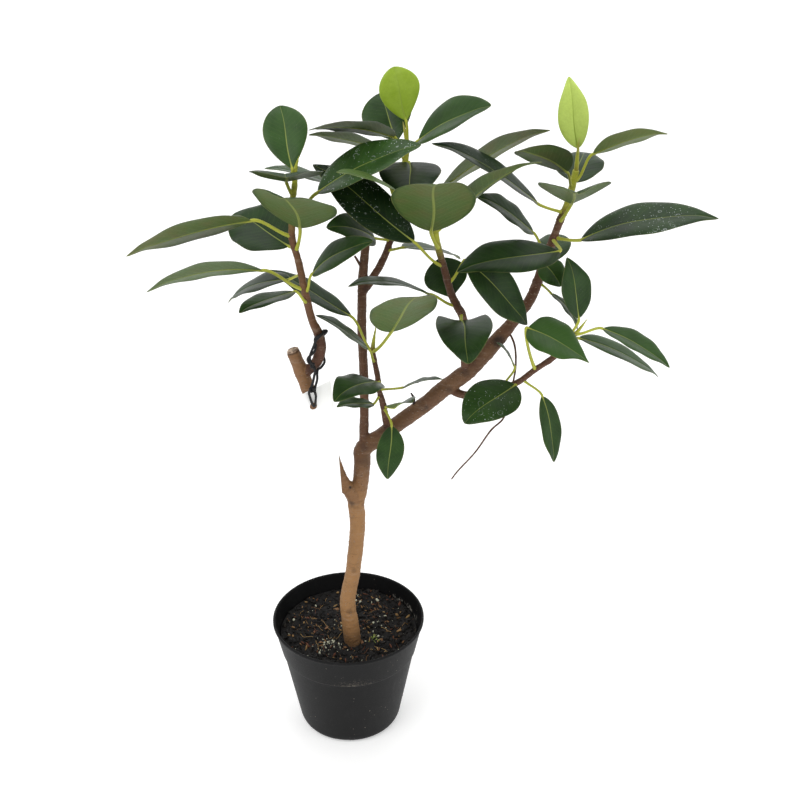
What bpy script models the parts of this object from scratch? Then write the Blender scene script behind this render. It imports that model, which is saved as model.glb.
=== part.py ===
"""Small pruned fig tree in a round nursery pot, with a hang tag on one twig.

Lengths in the tables are millimetres (MM turns them into metres), +Z is up, the front is -Y
and the origin is the middle of the pot's underside.
"""

import math
from typing import NamedTuple

import bmesh
import bpy
from mathutils import Vector

MM = 0.001

# Pot: a 120 mm nursery pot, given as radius and height up its outside.
POT_HEIGHT = 96.0
POT_RIM_RADIUS = 60.0
POT_BASE_RADIUS = 40.0
POT_WALL = 1.3
POT_BAND_HEIGHT = 27.0
POT_BAND_STEP = 1.3
POT_LIP = 2.0
POT_SIDES = 48
FOOT_CHANNELS = 6
FOOT_CHANNEL_WIDTH = 11.0
FOOT_CHANNEL_DEPTH = 2.6
FOOT_CHANNEL_TURN = math.radians(-7)
DRAIN_HOLE_RADIUS = 4.0
DRAIN_HOLE_PLACE = 27.0

# Soil: a plug that stands clear of the pot wall and of the trunk.
SOIL_TOP = 84.0
SOIL_CROWN = 1.5
CLEARANCE = 0.35

# Leaf: thickness at the margin and at the midrib, the stalk, and the stations along both.
MARGIN_THICKNESS = 0.5
MIDRIB_THICKNESS = 1.1
STALK_RADIUS = 0.75
STALK_PER_WIDTH = 0.011
BLADE_STATIONS = (0.02, 0.09, 0.2, 0.36, 0.54, 0.72, 0.87, 0.96, 1.0)
PETIOLE_STATIONS = (0.0, 0.25, 0.5, 0.75)

# Tag: a paper strip that hangs from its hole, leaning back on the cut branch.
TAG_TOP = Vector((-20.8, -23.5, 308.0))
TAG_BOTTOM = Vector((-13.0, -27.0, 178.0))
TAG_WIDTH = 29.0
TAG_THICKNESS = 0.5
TAG_TWIST = math.radians(26)
TAG_SLANT = 8.0
TAG_HOLE_RADIUS = 2.7
TAG_HOLE_DROP = 12.6
TAG_ROWS = 12

STRING_RADIUS = 0.9
STRING_STEP = 2.2


class Stem(NamedTuple):
    """Points up the middle of a stem and the radius at the first and each named point."""

    points: tuple
    radii: tuple
    sides: int


class Leaf(NamedTuple):
    """A leaf from its place on a stem: blade base and tip, and the way its top side faces."""

    name: str
    stem: str
    place: float
    base: tuple
    tip: tuple
    width: float
    face: tuple
    fold: float = 10.0
    arch: float = 0.05
    belly: float = 0.45


STEMS = {
    "trunk": Stem(
        ((4, -20, 62), (4, -20, 84), (1, -19, 115), (1, -17, 128), (5, -14, 148), (8, -11, 175),
         (9, -8, 191), (8, -6, 205), (11, -4, 217), (13, -2, 236), (14, 0, 248), (27, 0, 258),
         (41, 0, 270), (58, 1, 283), (74, 2, 297), (91, 3, 311), (103, 3, 325), (111, 4, 335),
         (123, 6, 350), (131, 7, 361), (136, 8, 373), (140, 8, 388), (145, 8, 404), (150, 7, 422),
         (154, 6, 433), (156, 5, 444), (158, 4, 457)),
        (7.5, 6.9, 6.2, 6.0, 5.8, 5.8, 6.0, 6.4, 6.1, 6.2, 6.6, 6.2, 5.9, 5.9, 6.2, 5.9, 5.6, 5.4,
         4.0, 3.8, 3.6, 3.3, 3.1, 2.7, 2.6, 2.5, 2.3), 10),
    "pole": Stem(
        ((14, 0, 248), (15, 1, 279), (15, 2, 310), (14, 4, 345), (15, 6, 378), (17, 7, 400),
         (18, 8, 412)),
        (3.6, 3.3, 3.3, 3.3, 3.4, 3.0, 2.8), 8),
    "pole_stub": Stem(((15, 6, 386), (12, 4, 393), (10, 3, 397)), (1.0, 0.9, 0.8), 6),
    "centre": Stem(
        ((15, 5, 370), (20, 4, 377), (24, 4, 384), (28, 5, 391), (32, 6, 400), (36, 8, 413),
         (40, 12, 434), (44, 15, 457), (46, 17, 472)),
        (3.0, 2.9, 2.8, 2.6, 2.5, 2.5, 2.4, 2.3, 2.1), 8),
    "mid": Stem(
        ((88, 3, 310), (87, -5, 330), (85, -10, 355), (80, -13, 367), (76, -15, 376),
         (72, -19, 391), (68, -22, 406), (65, -24, 418), (64, -25, 429)),
        (3.6, 3.2, 3.0, 2.9, 2.8, 2.6, 2.4, 2.3, 2.1), 8),
    "low_centre": Stem(
        ((32, 0, 264), (29, -5, 286), (26, -7, 300), (25, -9, 312), (23, -11, 325),
         (22, -12, 333), (23, -13, 343), (25, -14, 355)),
        (3.2, 2.4, 2.1, 2.1, 2.0, 1.9, 1.2, 0.4), 6),
    "low_right": Stem(
        ((76, 3, 297), (84, -2, 294), (93, -4, 294), (109, -9, 300), (124, -14, 309),
         (135, -17, 320), (146, -20, 330), (153, -21, 338), (159, -22, 347), (163, -23, 353),
         (169, -24, 363)),
        (3.6, 3.1, 2.7, 2.4, 2.3, 2.2, 2.2, 2.2, 2.1, 1.3, 0.4), 6),
    "stub": Stem(
        ((9, -6, 205), (3, -9, 218), (-3, -10, 228), (-13, -12, 262), (-23, -15, 301),
         (-28, -16, 318), (-33.8, -17, 335.8)),
        (5.8, 5.4, 5.2, 5.2, 5.0, 5.2, 4.6), 10),
    "left": Stem(
        ((-27, -16, 316), (-22, -17, 321), (-17, -18, 327), (-14, -19, 336), (-14, -19, 344),
         (-16, -20, 352), (-19, -20, 359), (-22, -21, 374), (-25, -21, 392), (-27, -22, 405),
         (-30, -22, 417), (-30, -22, 426), (-29, -23, 442), (-27, -23, 454), (-26, -23, 465),
         (-23, -23, 475)),
        (3.4, 3.6, 3.9, 3.8, 3.6, 3.2, 2.8, 2.7, 2.5, 2.4, 2.4, 2.3, 2.2, 2.1, 1.5, 0.4), 8),
    "air_root": Stem(
        ((117, 5, 342), (122, 0, 332), (123, -6, 320), (122, -5, 306), (119, -3, 288),
         (116, -4, 275), (107, -6, 266), (96, -8, 249), (84, -10, 235), (79, -11, 228)),
        (0.9, 0.8, 0.7, 0.7, 0.7, 0.7, 0.7, 0.6, 0.6, 0.5), 6),
    "limb_hook": Stem(((51, 0, 280), (51, 0, 289), (49, -1, 294)), (1.1, 1.0, 0.7), 6),
}

LEAVES = (
    Leaf("leaf_left_01", "left", 13.5, (-28, -24, 466), (-37, 5, 500), 29, (1, -10, 5), 8, 0.03, 0.58),
    Leaf("leaf_left_02", "left", 12.6, (-32, -26, 458), (-27, -78, 477), 46, (0, 3, 10), 9),
    Leaf("leaf_left_03", "left", 9.5, (-24, -30, 428), (-28, -95, 470), 52, (2, 6, 10), 14),
    Leaf("leaf_left_04", "left", 9.6, (-33, -14, 410), (-76, 30, 419), 44, (-1, -5, 10)),
    Leaf("leaf_left_05", "left", 10.4, (-55, -32, 434), (-134, -50, 417), 44, (0, 14, 20), 8, 0.03),
    Leaf("leaf_left_06", "left", 7.5, (-50, -30, 399), (-125, -45, 391), 40, (0, 14, 20), 8, 0.07),
    Leaf("leaf_left_07", "left", 8.0, (-34, -12, 386), (-81, 12, 360), 28, (0, -2, 10), 8, 0.08),
    Leaf("leaf_left_08", "left", 7.0, (-29, -35, 386), (-63, -60, 382), 30, (0, 2, 10), 8, 0.03),
    Leaf("leaf_left_09", "left", 7.4, (-17, -28, 396), (23, -50, 427), 24, (0, -6, 10), 8, 0.08),
    Leaf("leaf_left_10", "left", 11.4, (-12, -27, 451), (54, -21, 482), 44, (0, -2, 10), 12),
    Leaf("leaf_centre_01", "centre", 8.0, (45, 16, 487), (37, 22, 521), 27, (1, -10, 2), 8, 0.03, 0.6),
    Leaf("leaf_centre_02", "centre", 7.6, (39, 22, 472), (27, 45, 499), 35, (0, -10, 5), 8, 0.03, 0.58),
    Leaf("leaf_centre_03", "centre", 7.3, (37, 12, 477), (-17, -20, 491), 36, (0, 5, 10), 8),
    Leaf("leaf_centre_04", "centre", 6.0, (26, 14, 469), (-19, 6, 481), 32, (0, 5, 10), 8, 0.03),
    Leaf("leaf_centre_05", "centre", 7.0, (47, 8, 461), (48, -45, 454), 40, (0, -1, 10)),
    Leaf("leaf_centre_06", "centre", 7.6, (53, 10, 475), (98, -15, 505), 38, (-4, -4, 10), 16),
    Leaf("leaf_centre_07", "centre", 4.6, (24, -3, 412), (-6, -33, 430), 24, (0, -9, 10), 8, 0.1),
    Leaf("leaf_centre_08", "centre", 4.1, (43, -2, 405), (84, 30, 386), 26, (0, 0, 10), 8),
    Leaf("leaf_centre_09", "centre", 5.5, (1, 20, 439), (-50, 15, 456), 36, (0, 1, 10), 8),
    Leaf("leaf_mid_01", "mid", 5.6, (50, -36, 421), (-16, -4, 464), 31, (-1, -6, 10), 8, 0.03),
    Leaf("leaf_mid_02", "mid", 6.6, (61, -36, 428), (62, -100, 480), 52, (0, 10, 14), 12),
    Leaf("leaf_mid_03", "mid", 7.8, (68, 12, 441), (142, 32, 478), 40, (0, 7, 10), 10),
    Leaf("leaf_mid_04", "mid", 7.6, (75, -24, 434), (126, -70, 485), 34, (0, 1, 10), 16),
    Leaf("leaf_mid_05", "mid", 4.7, (84, -24, 404), (129, -20, 356), 30, (2, -5, 5), 10),
    Leaf("leaf_mid_06", "mid", 2.4, (83, -20, 359), (85, -75, 353), 38, (0, -4, 10), 6, 0.1, 0.34),
    Leaf("leaf_mid_07", "mid", 6.3, (69, 0, 397), (76, -8, 371), 30, (0, -10, 5), 6, 0.03),
    Leaf("leaf_mid_08", "mid", 3.2, (61, -22, 379), (7, -45, 395), 28, (0, 1, 10), 8, 0.08),
    Leaf("leaf_mid_09", "mid", 8.0, (39, -55, 460.6), (3, -70, 477.6), 26, (0, 0, 10), 8),
    Leaf("leaf_low_01", "low_centre", 5.0, (35, -31, 355), (54, -92, 407), 44, (-2, 8, 12), 8, 0.04),
    Leaf("leaf_low_02", "low_centre", 4.9, (7, -8, 357), (-51, 17, 383), 24, (0, 0, 10), 6, 0.02),
    Leaf("leaf_low_03", "low_centre", 4.0, (19, -20, 338), (-15, -33, 369), 25, (0, -1, 10), 8, 0.03),
    Leaf("leaf_low_04", "low_centre", 2.6, (26, -20, 312), (-3, -60, 318), 30, (0, -2, 10), 8, 0.1),
    Leaf("leaf_low_05", "low_centre", 1.6, (22, -12, 291), (-3, -30, 298), 18, (0, -1, 10)),
    Leaf("leaf_low_06", "low_centre", 2.0, (43, -12, 304), (71, -22, 316), 18, (0, 2, 10)),
    Leaf("leaf_low_07", "low_centre", 1.0, (37, -14, 289), (49, -35, 304), 22, (0, -1, 10), 14),
    Leaf("leaf_low_08", "low_centre", 0.9, (35, -14, 274), (32, -25, 236), 20, (1, -10, 2), 6),
    Leaf("leaf_right_01", "trunk", 23.4, (133, -3, 436), (62, -18, 482), 31, (0, -2, 10), 12),
    Leaf("leaf_right_02", "trunk", 26.0, (158, 3, 472), (150, 10, 517), 20, (-2, -10, 2), 8),
    Leaf("leaf_right_03", "trunk", 25.0, (159, 12, 446), (170, 60, 455), 34, (0, -3, 10), 8),
    Leaf("leaf_right_04", "trunk", 25.2, (150, -8, 459), (113, -45, 484), 29, (0, 8, 10), 16),
    Leaf("leaf_right_05", "trunk", 25.5, (168, 0, 469), (212, -15, 487), 30, (0, 6, 10), 12),
    Leaf("leaf_right_06", "trunk", 23.0, (155, -6, 437), (148, -74, 466), 46, (0, 6, 10), 24, 0.03),
    Leaf("leaf_right_07", "trunk", 22.3, (163, -4, 411), (252, -15, 429), 42, (0, -2, 10), 8, 0.09),
    Leaf("leaf_right_08", "trunk", 22.2, (147, -18, 408), (78, -45, 405), 42, (0, -2, 10), 8, 0.03),
    Leaf("leaf_right_09", "trunk", 21.8, (147, 14, 389), (154, 55, 396), 24, (0, 0, 10)),
    Leaf("leaf_right_10", "trunk", 21.6, (133, 14, 410), (92, -2, 442), 26, (0, -4, 10)),
    Leaf("leaf_right_11", "trunk", 21.2, (137, -1, 394), (151, -10, 380), 24, (1, -4, 10), 6, 0.12),
    Leaf("leaf_right_12", "trunk", 20.2, (146, 2, 370), (165, -10, 348), 16, (2, 1, 10), 6, 0.1),
    Leaf("leaf_fork_01", "low_right", 3.6, (122, -20, 310), (85, -50, 296), 36, (-2, -6, 10), 8),
    Leaf("leaf_fork_02", "low_right", 3.4, (120, -24, 327), (107, -32, 348), 12, (2, -2, 10), 8),
    Leaf("leaf_fork_03", "low_right", 5.1, (126, -40, 362), (167, -55, 344), 42, (1, -2, 10), 8, 0.05, 0.36),
    Leaf("leaf_fork_04", "low_right", 4.3, (141, -22, 302), (150, -40, 259), 20, (7, -8, 3), 8),
    Leaf("leaf_fork_05", "low_right", 7.6, (165, -14, 343), (226, -5, 310), 28, (0, -1, 10), 8),
    Leaf("leaf_fork_06", "low_right", 8.6, (179, -25, 355), (223, -45, 336), 28, (0, 0, 10), 12),
    Leaf("leaf_fork_07", "low_right", 8.0, (162, -26, 363), (154, -10, 401), 28, (5, -6, 3), 10),
)

# The tie: from its knot over the twig, down through the hole and back under the twig's heel.
STRING_ROUTE = (
    (-11.2, -22.2, 350.8), (-14.1, -24.6, 348.9), (-16.5, -24.9, 346.2), (-18.2, -24.9, 341.8),
    (-19.9, -24.9, 337.7), (-21.1, -24.9, 333.6), (-20.5, -25.3, 329.6), (-18.8, -25.9, 326.4),
    (-17.7, -26.2, 323.8), (-18.5, -26.3, 319.7), (-19.6, -26.4, 314.8), (-21.1, -26.8, 310.4),
    (-22.4, -27, 307.3), (-21.7, -26.8, 303), (-20.8, -26.5, 299.2), (-20.1, -25.3, 296.7),
    (-19.3, -24.5, 295.5), (-18.5, -25.2, 297), (-18.1, -26, 300.6), (-17.8, -26.5, 304.6),
    (-18.3, -26.4, 308), (-18, -26.2, 311.3), (-16.5, -26, 317), (-16.4, -24.9, 321),
    (-15.9, -23.5, 323.6), (-13.9, -22, 324.4), (-11.6, -19, 327), (-12.2, -14.6, 329),
    (-13.2, -13.6, 334), (-13.2, -13.6, 339.6), (-12.2, -14, 344.6), (-10.6, -15.2, 348.2),
    (-9.8, -18.6, 350.8),
)

DARK_LEAF = (0.035, 0.075, 0.028)
YOUNG_LEAF = (0.28, 0.42, 0.03)
YOUNG_LEAVES = ("leaf_centre_01", "leaf_right_02")


def clear_scene():
    """Remove the objects that a new file opens with."""
    for old in list(bpy.data.objects):
        bpy.data.objects.remove(old, do_unlink=True)


def material(name, color, roughness, metallic=0.0):
    """A Principled material of one colour."""
    made = bpy.data.materials.new(name)
    made.use_nodes = True
    shader = made.node_tree.nodes["Principled BSDF"]
    shader.inputs["Base Color"].default_value = (*color, 1.0)
    shader.inputs["Roughness"].default_value = roughness
    shader.inputs["Metallic"].default_value = metallic
    return made


def add_object(name, bm, finish=None, guide=False):
    """Turn a bmesh in millimetres into a named object in metres."""
    bmesh.ops.scale(bm, vec=(MM, MM, MM), verts=bm.verts)
    bmesh.ops.recalc_face_normals(bm, faces=bm.faces)
    if bm.calc_volume(signed=True) < 0:
        bmesh.ops.reverse_faces(bm, faces=bm.faces)
    mesh = bpy.data.meshes.new(name)
    bm.to_mesh(mesh)
    bm.free()
    mesh.shade_smooth()
    mesh.set_sharp_from_angle(angle=math.radians(40))
    made = bpy.data.objects.new(name, mesh)
    bpy.context.scene.collection.objects.link(made)
    if finish:
        mesh.materials.append(finish)
    if guide:
        made.hide_render = True
        made.display_type = "WIRE"
    return made


def boolean(target, tool, operation):
    """Join or cut a piece with a guide object."""
    step = target.modifiers.new(tool.name, "BOOLEAN")
    step.operation = operation
    step.object = tool
    step.solver = "EXACT"


def smooth_point(points, place):
    """The point and direction of the smooth curve through the points at a fractional index."""
    last = len(points) - 1
    i = min(int(place), last - 1)
    t = place - i
    b, c = Vector(points[i]), Vector(points[i + 1])
    a = Vector(points[i - 1]) if i > 0 else 2 * b - c
    d = Vector(points[i + 2]) if i + 2 <= last else 2 * c - b
    start, end = (c - a) / 2, (d - b) / 2
    point = ((2 * t**3 - 3 * t**2 + 1) * b + (t**3 - 2 * t**2 + t) * start
             + (3 * t**2 - 2 * t**3) * c + (t**3 - t**2) * end)
    slope = ((6 * t**2 - 6 * t) * (b - c) + (3 * t**2 - 4 * t + 1) * start
             + (3 * t**2 - 2 * t) * end)
    return point, slope.normalized()


def sweep(bm, rings):
    """Extrude an end face through the rings, which leaves a closed body."""
    end = bm.faces.new([bm.verts.new(point) for point in rings[0]])
    for i, ring in enumerate(rings[1:]):
        grown = bmesh.ops.extrude_face_region(bm, geom=[end])
        if i:
            bmesh.ops.delete(bm, geom=[end], context="FACES_ONLY")
        end = next(item for item in grown["geom"] if isinstance(item, bmesh.types.BMFace))
        for vert, point in zip(end.verts, ring):
            vert.co = point


def round_ring(centre, along, side, radius, sides):
    """Points of a circle square to a direction."""
    side = (side - along * side.dot(along)).normalized()
    other = along.cross(side)
    turns = [2 * math.pi * i / sides for i in range(sides)]
    return [centre + radius * (math.cos(a) * side + math.sin(a) * other) for a in turns]


def stem_radius(stem, place):
    """Radius of a stem at a fractional index."""
    i = min(int(place), len(stem.radii) - 2)
    return stem.radii[i] + (stem.radii[i + 1] - stem.radii[i]) * (place - i)


def add_stem(name):
    """A tapering round branch along its smooth curve."""
    stem = STEMS[name]
    steps = 2 * (len(stem.points) - 1)
    side = Vector((1, 0, 0))
    rings = []
    for step in range(steps + 1):
        centre, along = smooth_point(stem.points, step / 2)
        ring = round_ring(centre, along, side, stem_radius(stem, step / 2), stem.sides)
        side = (ring[0] - centre).normalized()
        rings.append(ring)
    bm = bmesh.new()
    sweep(bm, rings)
    return bm


def build_wood():
    """Trunk, limbs and twigs, which grew as one piece."""
    wood = add_object("woody_stem", add_stem("trunk"), material("bark", (0.21, 0.11, 0.06), 0.7))
    for name in STEMS:
        if name != "trunk":
            branch = add_object(f"guide_{name}", add_stem(name), guide=True)
            boolean(wood, branch, "UNION")


def blade_half_width(t, belly):
    """Half of the blade's width at a share of its length, for a width of one."""
    return 0.5 * max(0.02, math.sin(math.pi * t ** (math.log(0.5) / math.log(belly))) ** 0.72)


def section(centre, side, up, half, lift, thick_edge, thick_mid):
    """A six-sided cross-section: margin, midrib and margin, above and below."""
    edge = up * lift
    return [
        centre - side * half + edge + up * thick_edge / 2,
        centre + up * thick_mid / 2,
        centre + side * half + edge + up * thick_edge / 2,
        centre + side * half + edge - up * thick_edge / 2,
        centre - up * thick_mid / 2,
        centre - side * half + edge - up * thick_edge / 2,
    ]


def blade_rings(leaf, up, petiole_radius):
    """Cross-sections of the blade from its base to its tip."""
    base, tip = Vector(leaf.base), Vector(leaf.tip)
    axis = tip - base
    side = axis.normalized().cross(up)
    lean = math.tan(math.radians(leaf.fold))
    rings = []
    for t in BLADE_STATIONS:
        bow = up * leaf.arch * axis.length * 4 * t * (1 - t)
        half = max(leaf.width * blade_half_width(t, leaf.belly), 0.4)
        thick = MIDRIB_THICKNESS + (2 * petiole_radius - MIDRIB_THICKNESS) * (1 - t) ** 4
        rings.append(section(base + axis * t + bow, side, up, half, half * lean,
                             MARGIN_THICKNESS, max(thick * (1 - t) ** 0.3, 0.6)))
    return rings


def petiole_rings(leaf, up, radius):
    """Cross-sections of the leaf stalk from the stem's surface to the blade."""
    stem = STEMS[leaf.stem]
    root, along = smooth_point(stem.points, leaf.place)
    base = Vector(leaf.base)
    axis = (Vector(leaf.tip) - base).normalized()
    if leaf.place < len(stem.points) - 1:
        away = base - root
        away = (away - along * away.dot(along)).normalized()
        start = root + away * (stem_radius(stem, leaf.place) + CLEARANCE)
    else:
        away = along
        start = root + along * CLEARANCE
    span = (base - start).length
    leave = (away * 0.45 + (base - start) / span).normalized()
    start += away * radius * 1.1 * math.sin(away.angle(leave))
    meet = span * (0.08 + 0.22 * max(0.0, axis.dot((base - start) / span)))
    pull = (start, start + leave * span * 0.3, base - axis * meet, base)
    side = axis.cross(up)
    rings = []
    for t in reversed(PETIOLE_STATIONS):
        s = 1 - t
        centre = (s**3 * pull[0] + 3 * s * s * t * pull[1] + 3 * s * t * t * pull[2]
                  + t**3 * pull[3])
        slope = (s * s * (pull[1] - pull[0]) + 2 * s * t * (pull[2] - pull[1])
                 + t * t * (pull[3] - pull[2])).normalized()
        side = (side - slope * side.dot(slope)).normalized()
        above = side.cross(slope)
        rings.append(section(centre, side, above, 0.87 * radius, 0.0, radius, 2 * radius))
    return rings[::-1]


def build_leaf(leaf, finish):
    """One leaf: stalk and blade in one closed body."""
    axis = (Vector(leaf.tip) - Vector(leaf.base)).normalized()
    face = Vector(leaf.face)
    up = (face - axis * face.dot(axis)).normalized()
    radius = STALK_RADIUS + STALK_PER_WIDTH * leaf.width
    bm = bmesh.new()
    sweep(bm, petiole_rings(leaf, up, radius) + blade_rings(leaf, up, radius))
    add_object(leaf.name, bm, finish)


def turned(bm, profile, sides):
    """A closed turned body from a profile of radius and height, first and last on the axis."""
    chain = [bm.verts.new((radius, 0, height)) for radius, height in profile]
    edges = [bm.edges.new(pair) for pair in zip(chain, chain[1:])]
    bmesh.ops.spin(bm, geom=chain + edges, cent=(0, 0, 0), axis=(0, 0, 1), steps=sides,
                   angle=2 * math.pi, use_merge=True)
    bmesh.ops.remove_doubles(bm, verts=bm.verts, dist=0.001)


def wall_radius(height):
    """Outer radius of the pot's wall, without its band."""
    slope = (POT_RIM_RADIUS - 2 * POT_BAND_STEP - POT_BASE_RADIUS) / POT_HEIGHT
    return POT_BASE_RADIUS + slope * height


def pot_profile():
    """Radius and height down the inside, across the rim and down the outside."""
    band = POT_HEIGHT - POT_BAND_HEIGHT
    top = POT_HEIGHT
    floor = POT_WALL + 2.4
    inner_rim = POT_RIM_RADIUS - POT_WALL - 0.6
    return (
        (0, floor), (wall_radius(floor) - 4.5, floor), (wall_radius(floor + 3) - POT_WALL, floor + 3),
        (wall_radius(band) - POT_WALL, band - 1), (wall_radius(band) - POT_WALL + POT_BAND_STEP, band + 2),
        (inner_rim, top - 0.6), (inner_rim + 0.5, top), (POT_RIM_RADIUS - 0.4, top),
        (POT_RIM_RADIUS, top - 0.6), (POT_RIM_RADIUS, top - POT_LIP),
        (POT_RIM_RADIUS - 1.0, top - POT_LIP - 0.8),
        (wall_radius(band) + POT_BAND_STEP, band), (wall_radius(band) + 0.2, band - 1.2),
        (wall_radius(5), 5), (wall_radius(2) - 0.8, 2), (POT_BASE_RADIUS - 3.5, 0), (0, 0),
    )


def build_pot():
    """The pot: a turned shell with shallow foot channels that lead to its drain holes."""
    bm = bmesh.new()
    turned(bm, pot_profile(), POT_SIDES)
    pot = add_object("nursery_pot", bm, material("pot_plastic", (0.022, 0.022, 0.024), 0.55))
    for i in range(FOOT_CHANNELS):
        turn = 2 * math.pi * (i + 0.5) / FOOT_CHANNELS + FOOT_CHANNEL_TURN
        out = Vector((math.cos(turn), math.sin(turn), 0))
        channel = bmesh.new()
        bmesh.ops.create_cube(channel, size=1.0)
        bmesh.ops.scale(channel, verts=channel.verts,
                        vec=(26, FOOT_CHANNEL_WIDTH, 2 * FOOT_CHANNEL_DEPTH))
        bmesh.ops.rotate(channel, verts=channel.verts, cent=(0, 0, 0),
                         matrix=out.to_track_quat("X", "Z").to_matrix())
        bmesh.ops.translate(channel, verts=channel.verts, vec=out * 38)
        boolean(pot, add_object(f"guide_channel_{i}", channel, guide=True), "DIFFERENCE")
        hole = bmesh.new()
        bmesh.ops.create_cone(hole, cap_ends=True, segments=12, radius1=DRAIN_HOLE_RADIUS,
                              radius2=DRAIN_HOLE_RADIUS, depth=12)
        bmesh.ops.translate(hole, verts=hole.verts, vec=out * (DRAIN_HOLE_PLACE + 2.5))
        boolean(pot, add_object(f"guide_hole_{i}", hole, guide=True), "DIFFERENCE")


def build_soil():
    """The potting mix: a plug as wide as the pot allows, hollowed for the trunk's foot."""
    floor = POT_WALL + 2.4 + CLEARANCE
    inset = POT_WALL + CLEARANCE
    band = POT_HEIGHT - POT_BAND_HEIGHT
    edge = wall_radius(SOIL_TOP) + POT_BAND_STEP - inset - 0.6
    bm = bmesh.new()
    turned(bm, (
        (0, SOIL_TOP + SOIL_CROWN), (0.4 * edge, SOIL_TOP + SOIL_CROWN * 0.8), (0.8 * edge, SOIL_TOP),
        (edge, SOIL_TOP - SOIL_CROWN), (wall_radius(band) - inset, band - 1.5),
        (wall_radius(floor + 4) - inset, floor + 4), (wall_radius(floor) - 6, floor), (0, floor),
    ), POT_SIDES)
    soil = add_object("potting_soil", bm, material("soil", (0.045, 0.028, 0.018), 0.95))
    trunk = STEMS["trunk"]
    x, y, foot = trunk.points[0]
    depth = 40.0
    hole = bmesh.new()
    bmesh.ops.create_cone(hole, cap_ends=True, segments=16, radius1=trunk.radii[0] + 0.6,
                          radius2=trunk.radii[0] + 0.6, depth=depth)
    bmesh.ops.translate(hole, verts=hole.verts, vec=(x, y, foot - CLEARANCE + depth / 2))
    boolean(soil, add_object("guide_trunk_hole", hole, guide=True), "DIFFERENCE")


def tag_frame(share):
    """Centre, across and outward directions of the tag at a share of its drop."""
    down = TAG_BOTTOM - TAG_TOP
    turn = TAG_TWIST * (1 - share) ** 2
    across = Vector((math.cos(turn), math.sin(turn), 0))
    across += Vector((0, 0, TAG_SLANT / TAG_WIDTH * (1 - share) ** 2))
    out = across.cross(down).normalized()
    bow = -1.2 * math.sin(math.pi * share)
    return TAG_TOP + down * share + out * bow, across, -out


def build_tag():
    """A blank hang tag, slightly twisted, with a round hole near its top."""
    rings = []
    for row in range(TAG_ROWS + 1):
        centre, across, out = tag_frame(row / TAG_ROWS)
        half, thick = across * TAG_WIDTH / 2, out * TAG_THICKNESS / 2
        rings.append([centre - half - thick, centre + half - thick,
                      centre + half + thick, centre - half + thick])
    bm = bmesh.new()
    sweep(bm, rings)
    bmesh.ops.triangulate(bm, faces=bm.faces)
    tag = add_object("hang_tag", bm, material("tag_paper", (0.86, 0.86, 0.85), 0.6))
    drop = TAG_HOLE_DROP / (TAG_BOTTOM - TAG_TOP).length
    centre, _, out = tag_frame(drop)
    hole = bmesh.new()
    bmesh.ops.create_cone(hole, cap_ends=True, segments=16, radius1=TAG_HOLE_RADIUS,
                          radius2=TAG_HOLE_RADIUS, depth=8)
    bmesh.ops.rotate(hole, verts=hole.verts, cent=(0, 0, 0),
                     matrix=out.to_track_quat("Z", "Y").to_matrix())
    bmesh.ops.translate(hole, verts=hole.verts, vec=centre)
    boolean(tag, add_object("guide_tag_hole", hole, guide=True), "DIFFERENCE")


def build_string():
    """The tag's elastic tie, one tube along its route."""
    fine = 12
    line = [smooth_point(STRING_ROUTE, i / fine)[0] for i in range(fine * (len(STRING_ROUTE) - 1) + 1)]
    points, run = [line[0]], 0.0
    for a, b in zip(line, line[1:]):
        run += (b - a).length
        if run >= STRING_STEP:
            points.append(b)
            run = 0.0
    curve = bpy.data.curves.new("tag_string", "CURVE")
    curve.dimensions = "3D"
    curve.bevel_depth = STRING_RADIUS * MM
    curve.bevel_resolution = 2
    curve.use_fill_caps = True
    spline = curve.splines.new("POLY")
    spline.points.add(len(points) - 1)
    for slot, point in zip(spline.points, points):
        slot.co = (*(point * MM), 1.0)
    curve.materials.append(material("tag_elastic", (0.012, 0.012, 0.014), 0.6))
    string = bpy.data.objects.new("tag_string", curve)
    bpy.context.scene.collection.objects.link(string)


def main():
    clear_scene()
    build_pot()
    build_soil()
    build_wood()
    dark = material("leaf_green", DARK_LEAF, 0.35)
    young = material("leaf_young", YOUNG_LEAF, 0.4)
    for leaf in LEAVES:
        build_leaf(leaf, young if leaf.name in YOUNG_LEAVES else dark)
    build_tag()
    build_string()


main()
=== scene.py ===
"""Looks for a small pruned fig tree in a nursery pot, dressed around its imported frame.

Tables are in millimetres, +Z is up, the front is -Y and the origin is the middle of the pot's
underside. Every mesh is shaped in millimetres and scaled to metres when it becomes an object.
"""

import logging
import math
import random
from abc import ABC, abstractmethod
from dataclasses import dataclass, field
from enum import Enum
from typing import Callable, Iterable, NamedTuple, Sequence

import bmesh
import bpy
import numpy as np
from mathutils import Matrix, Vector, noise

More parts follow.
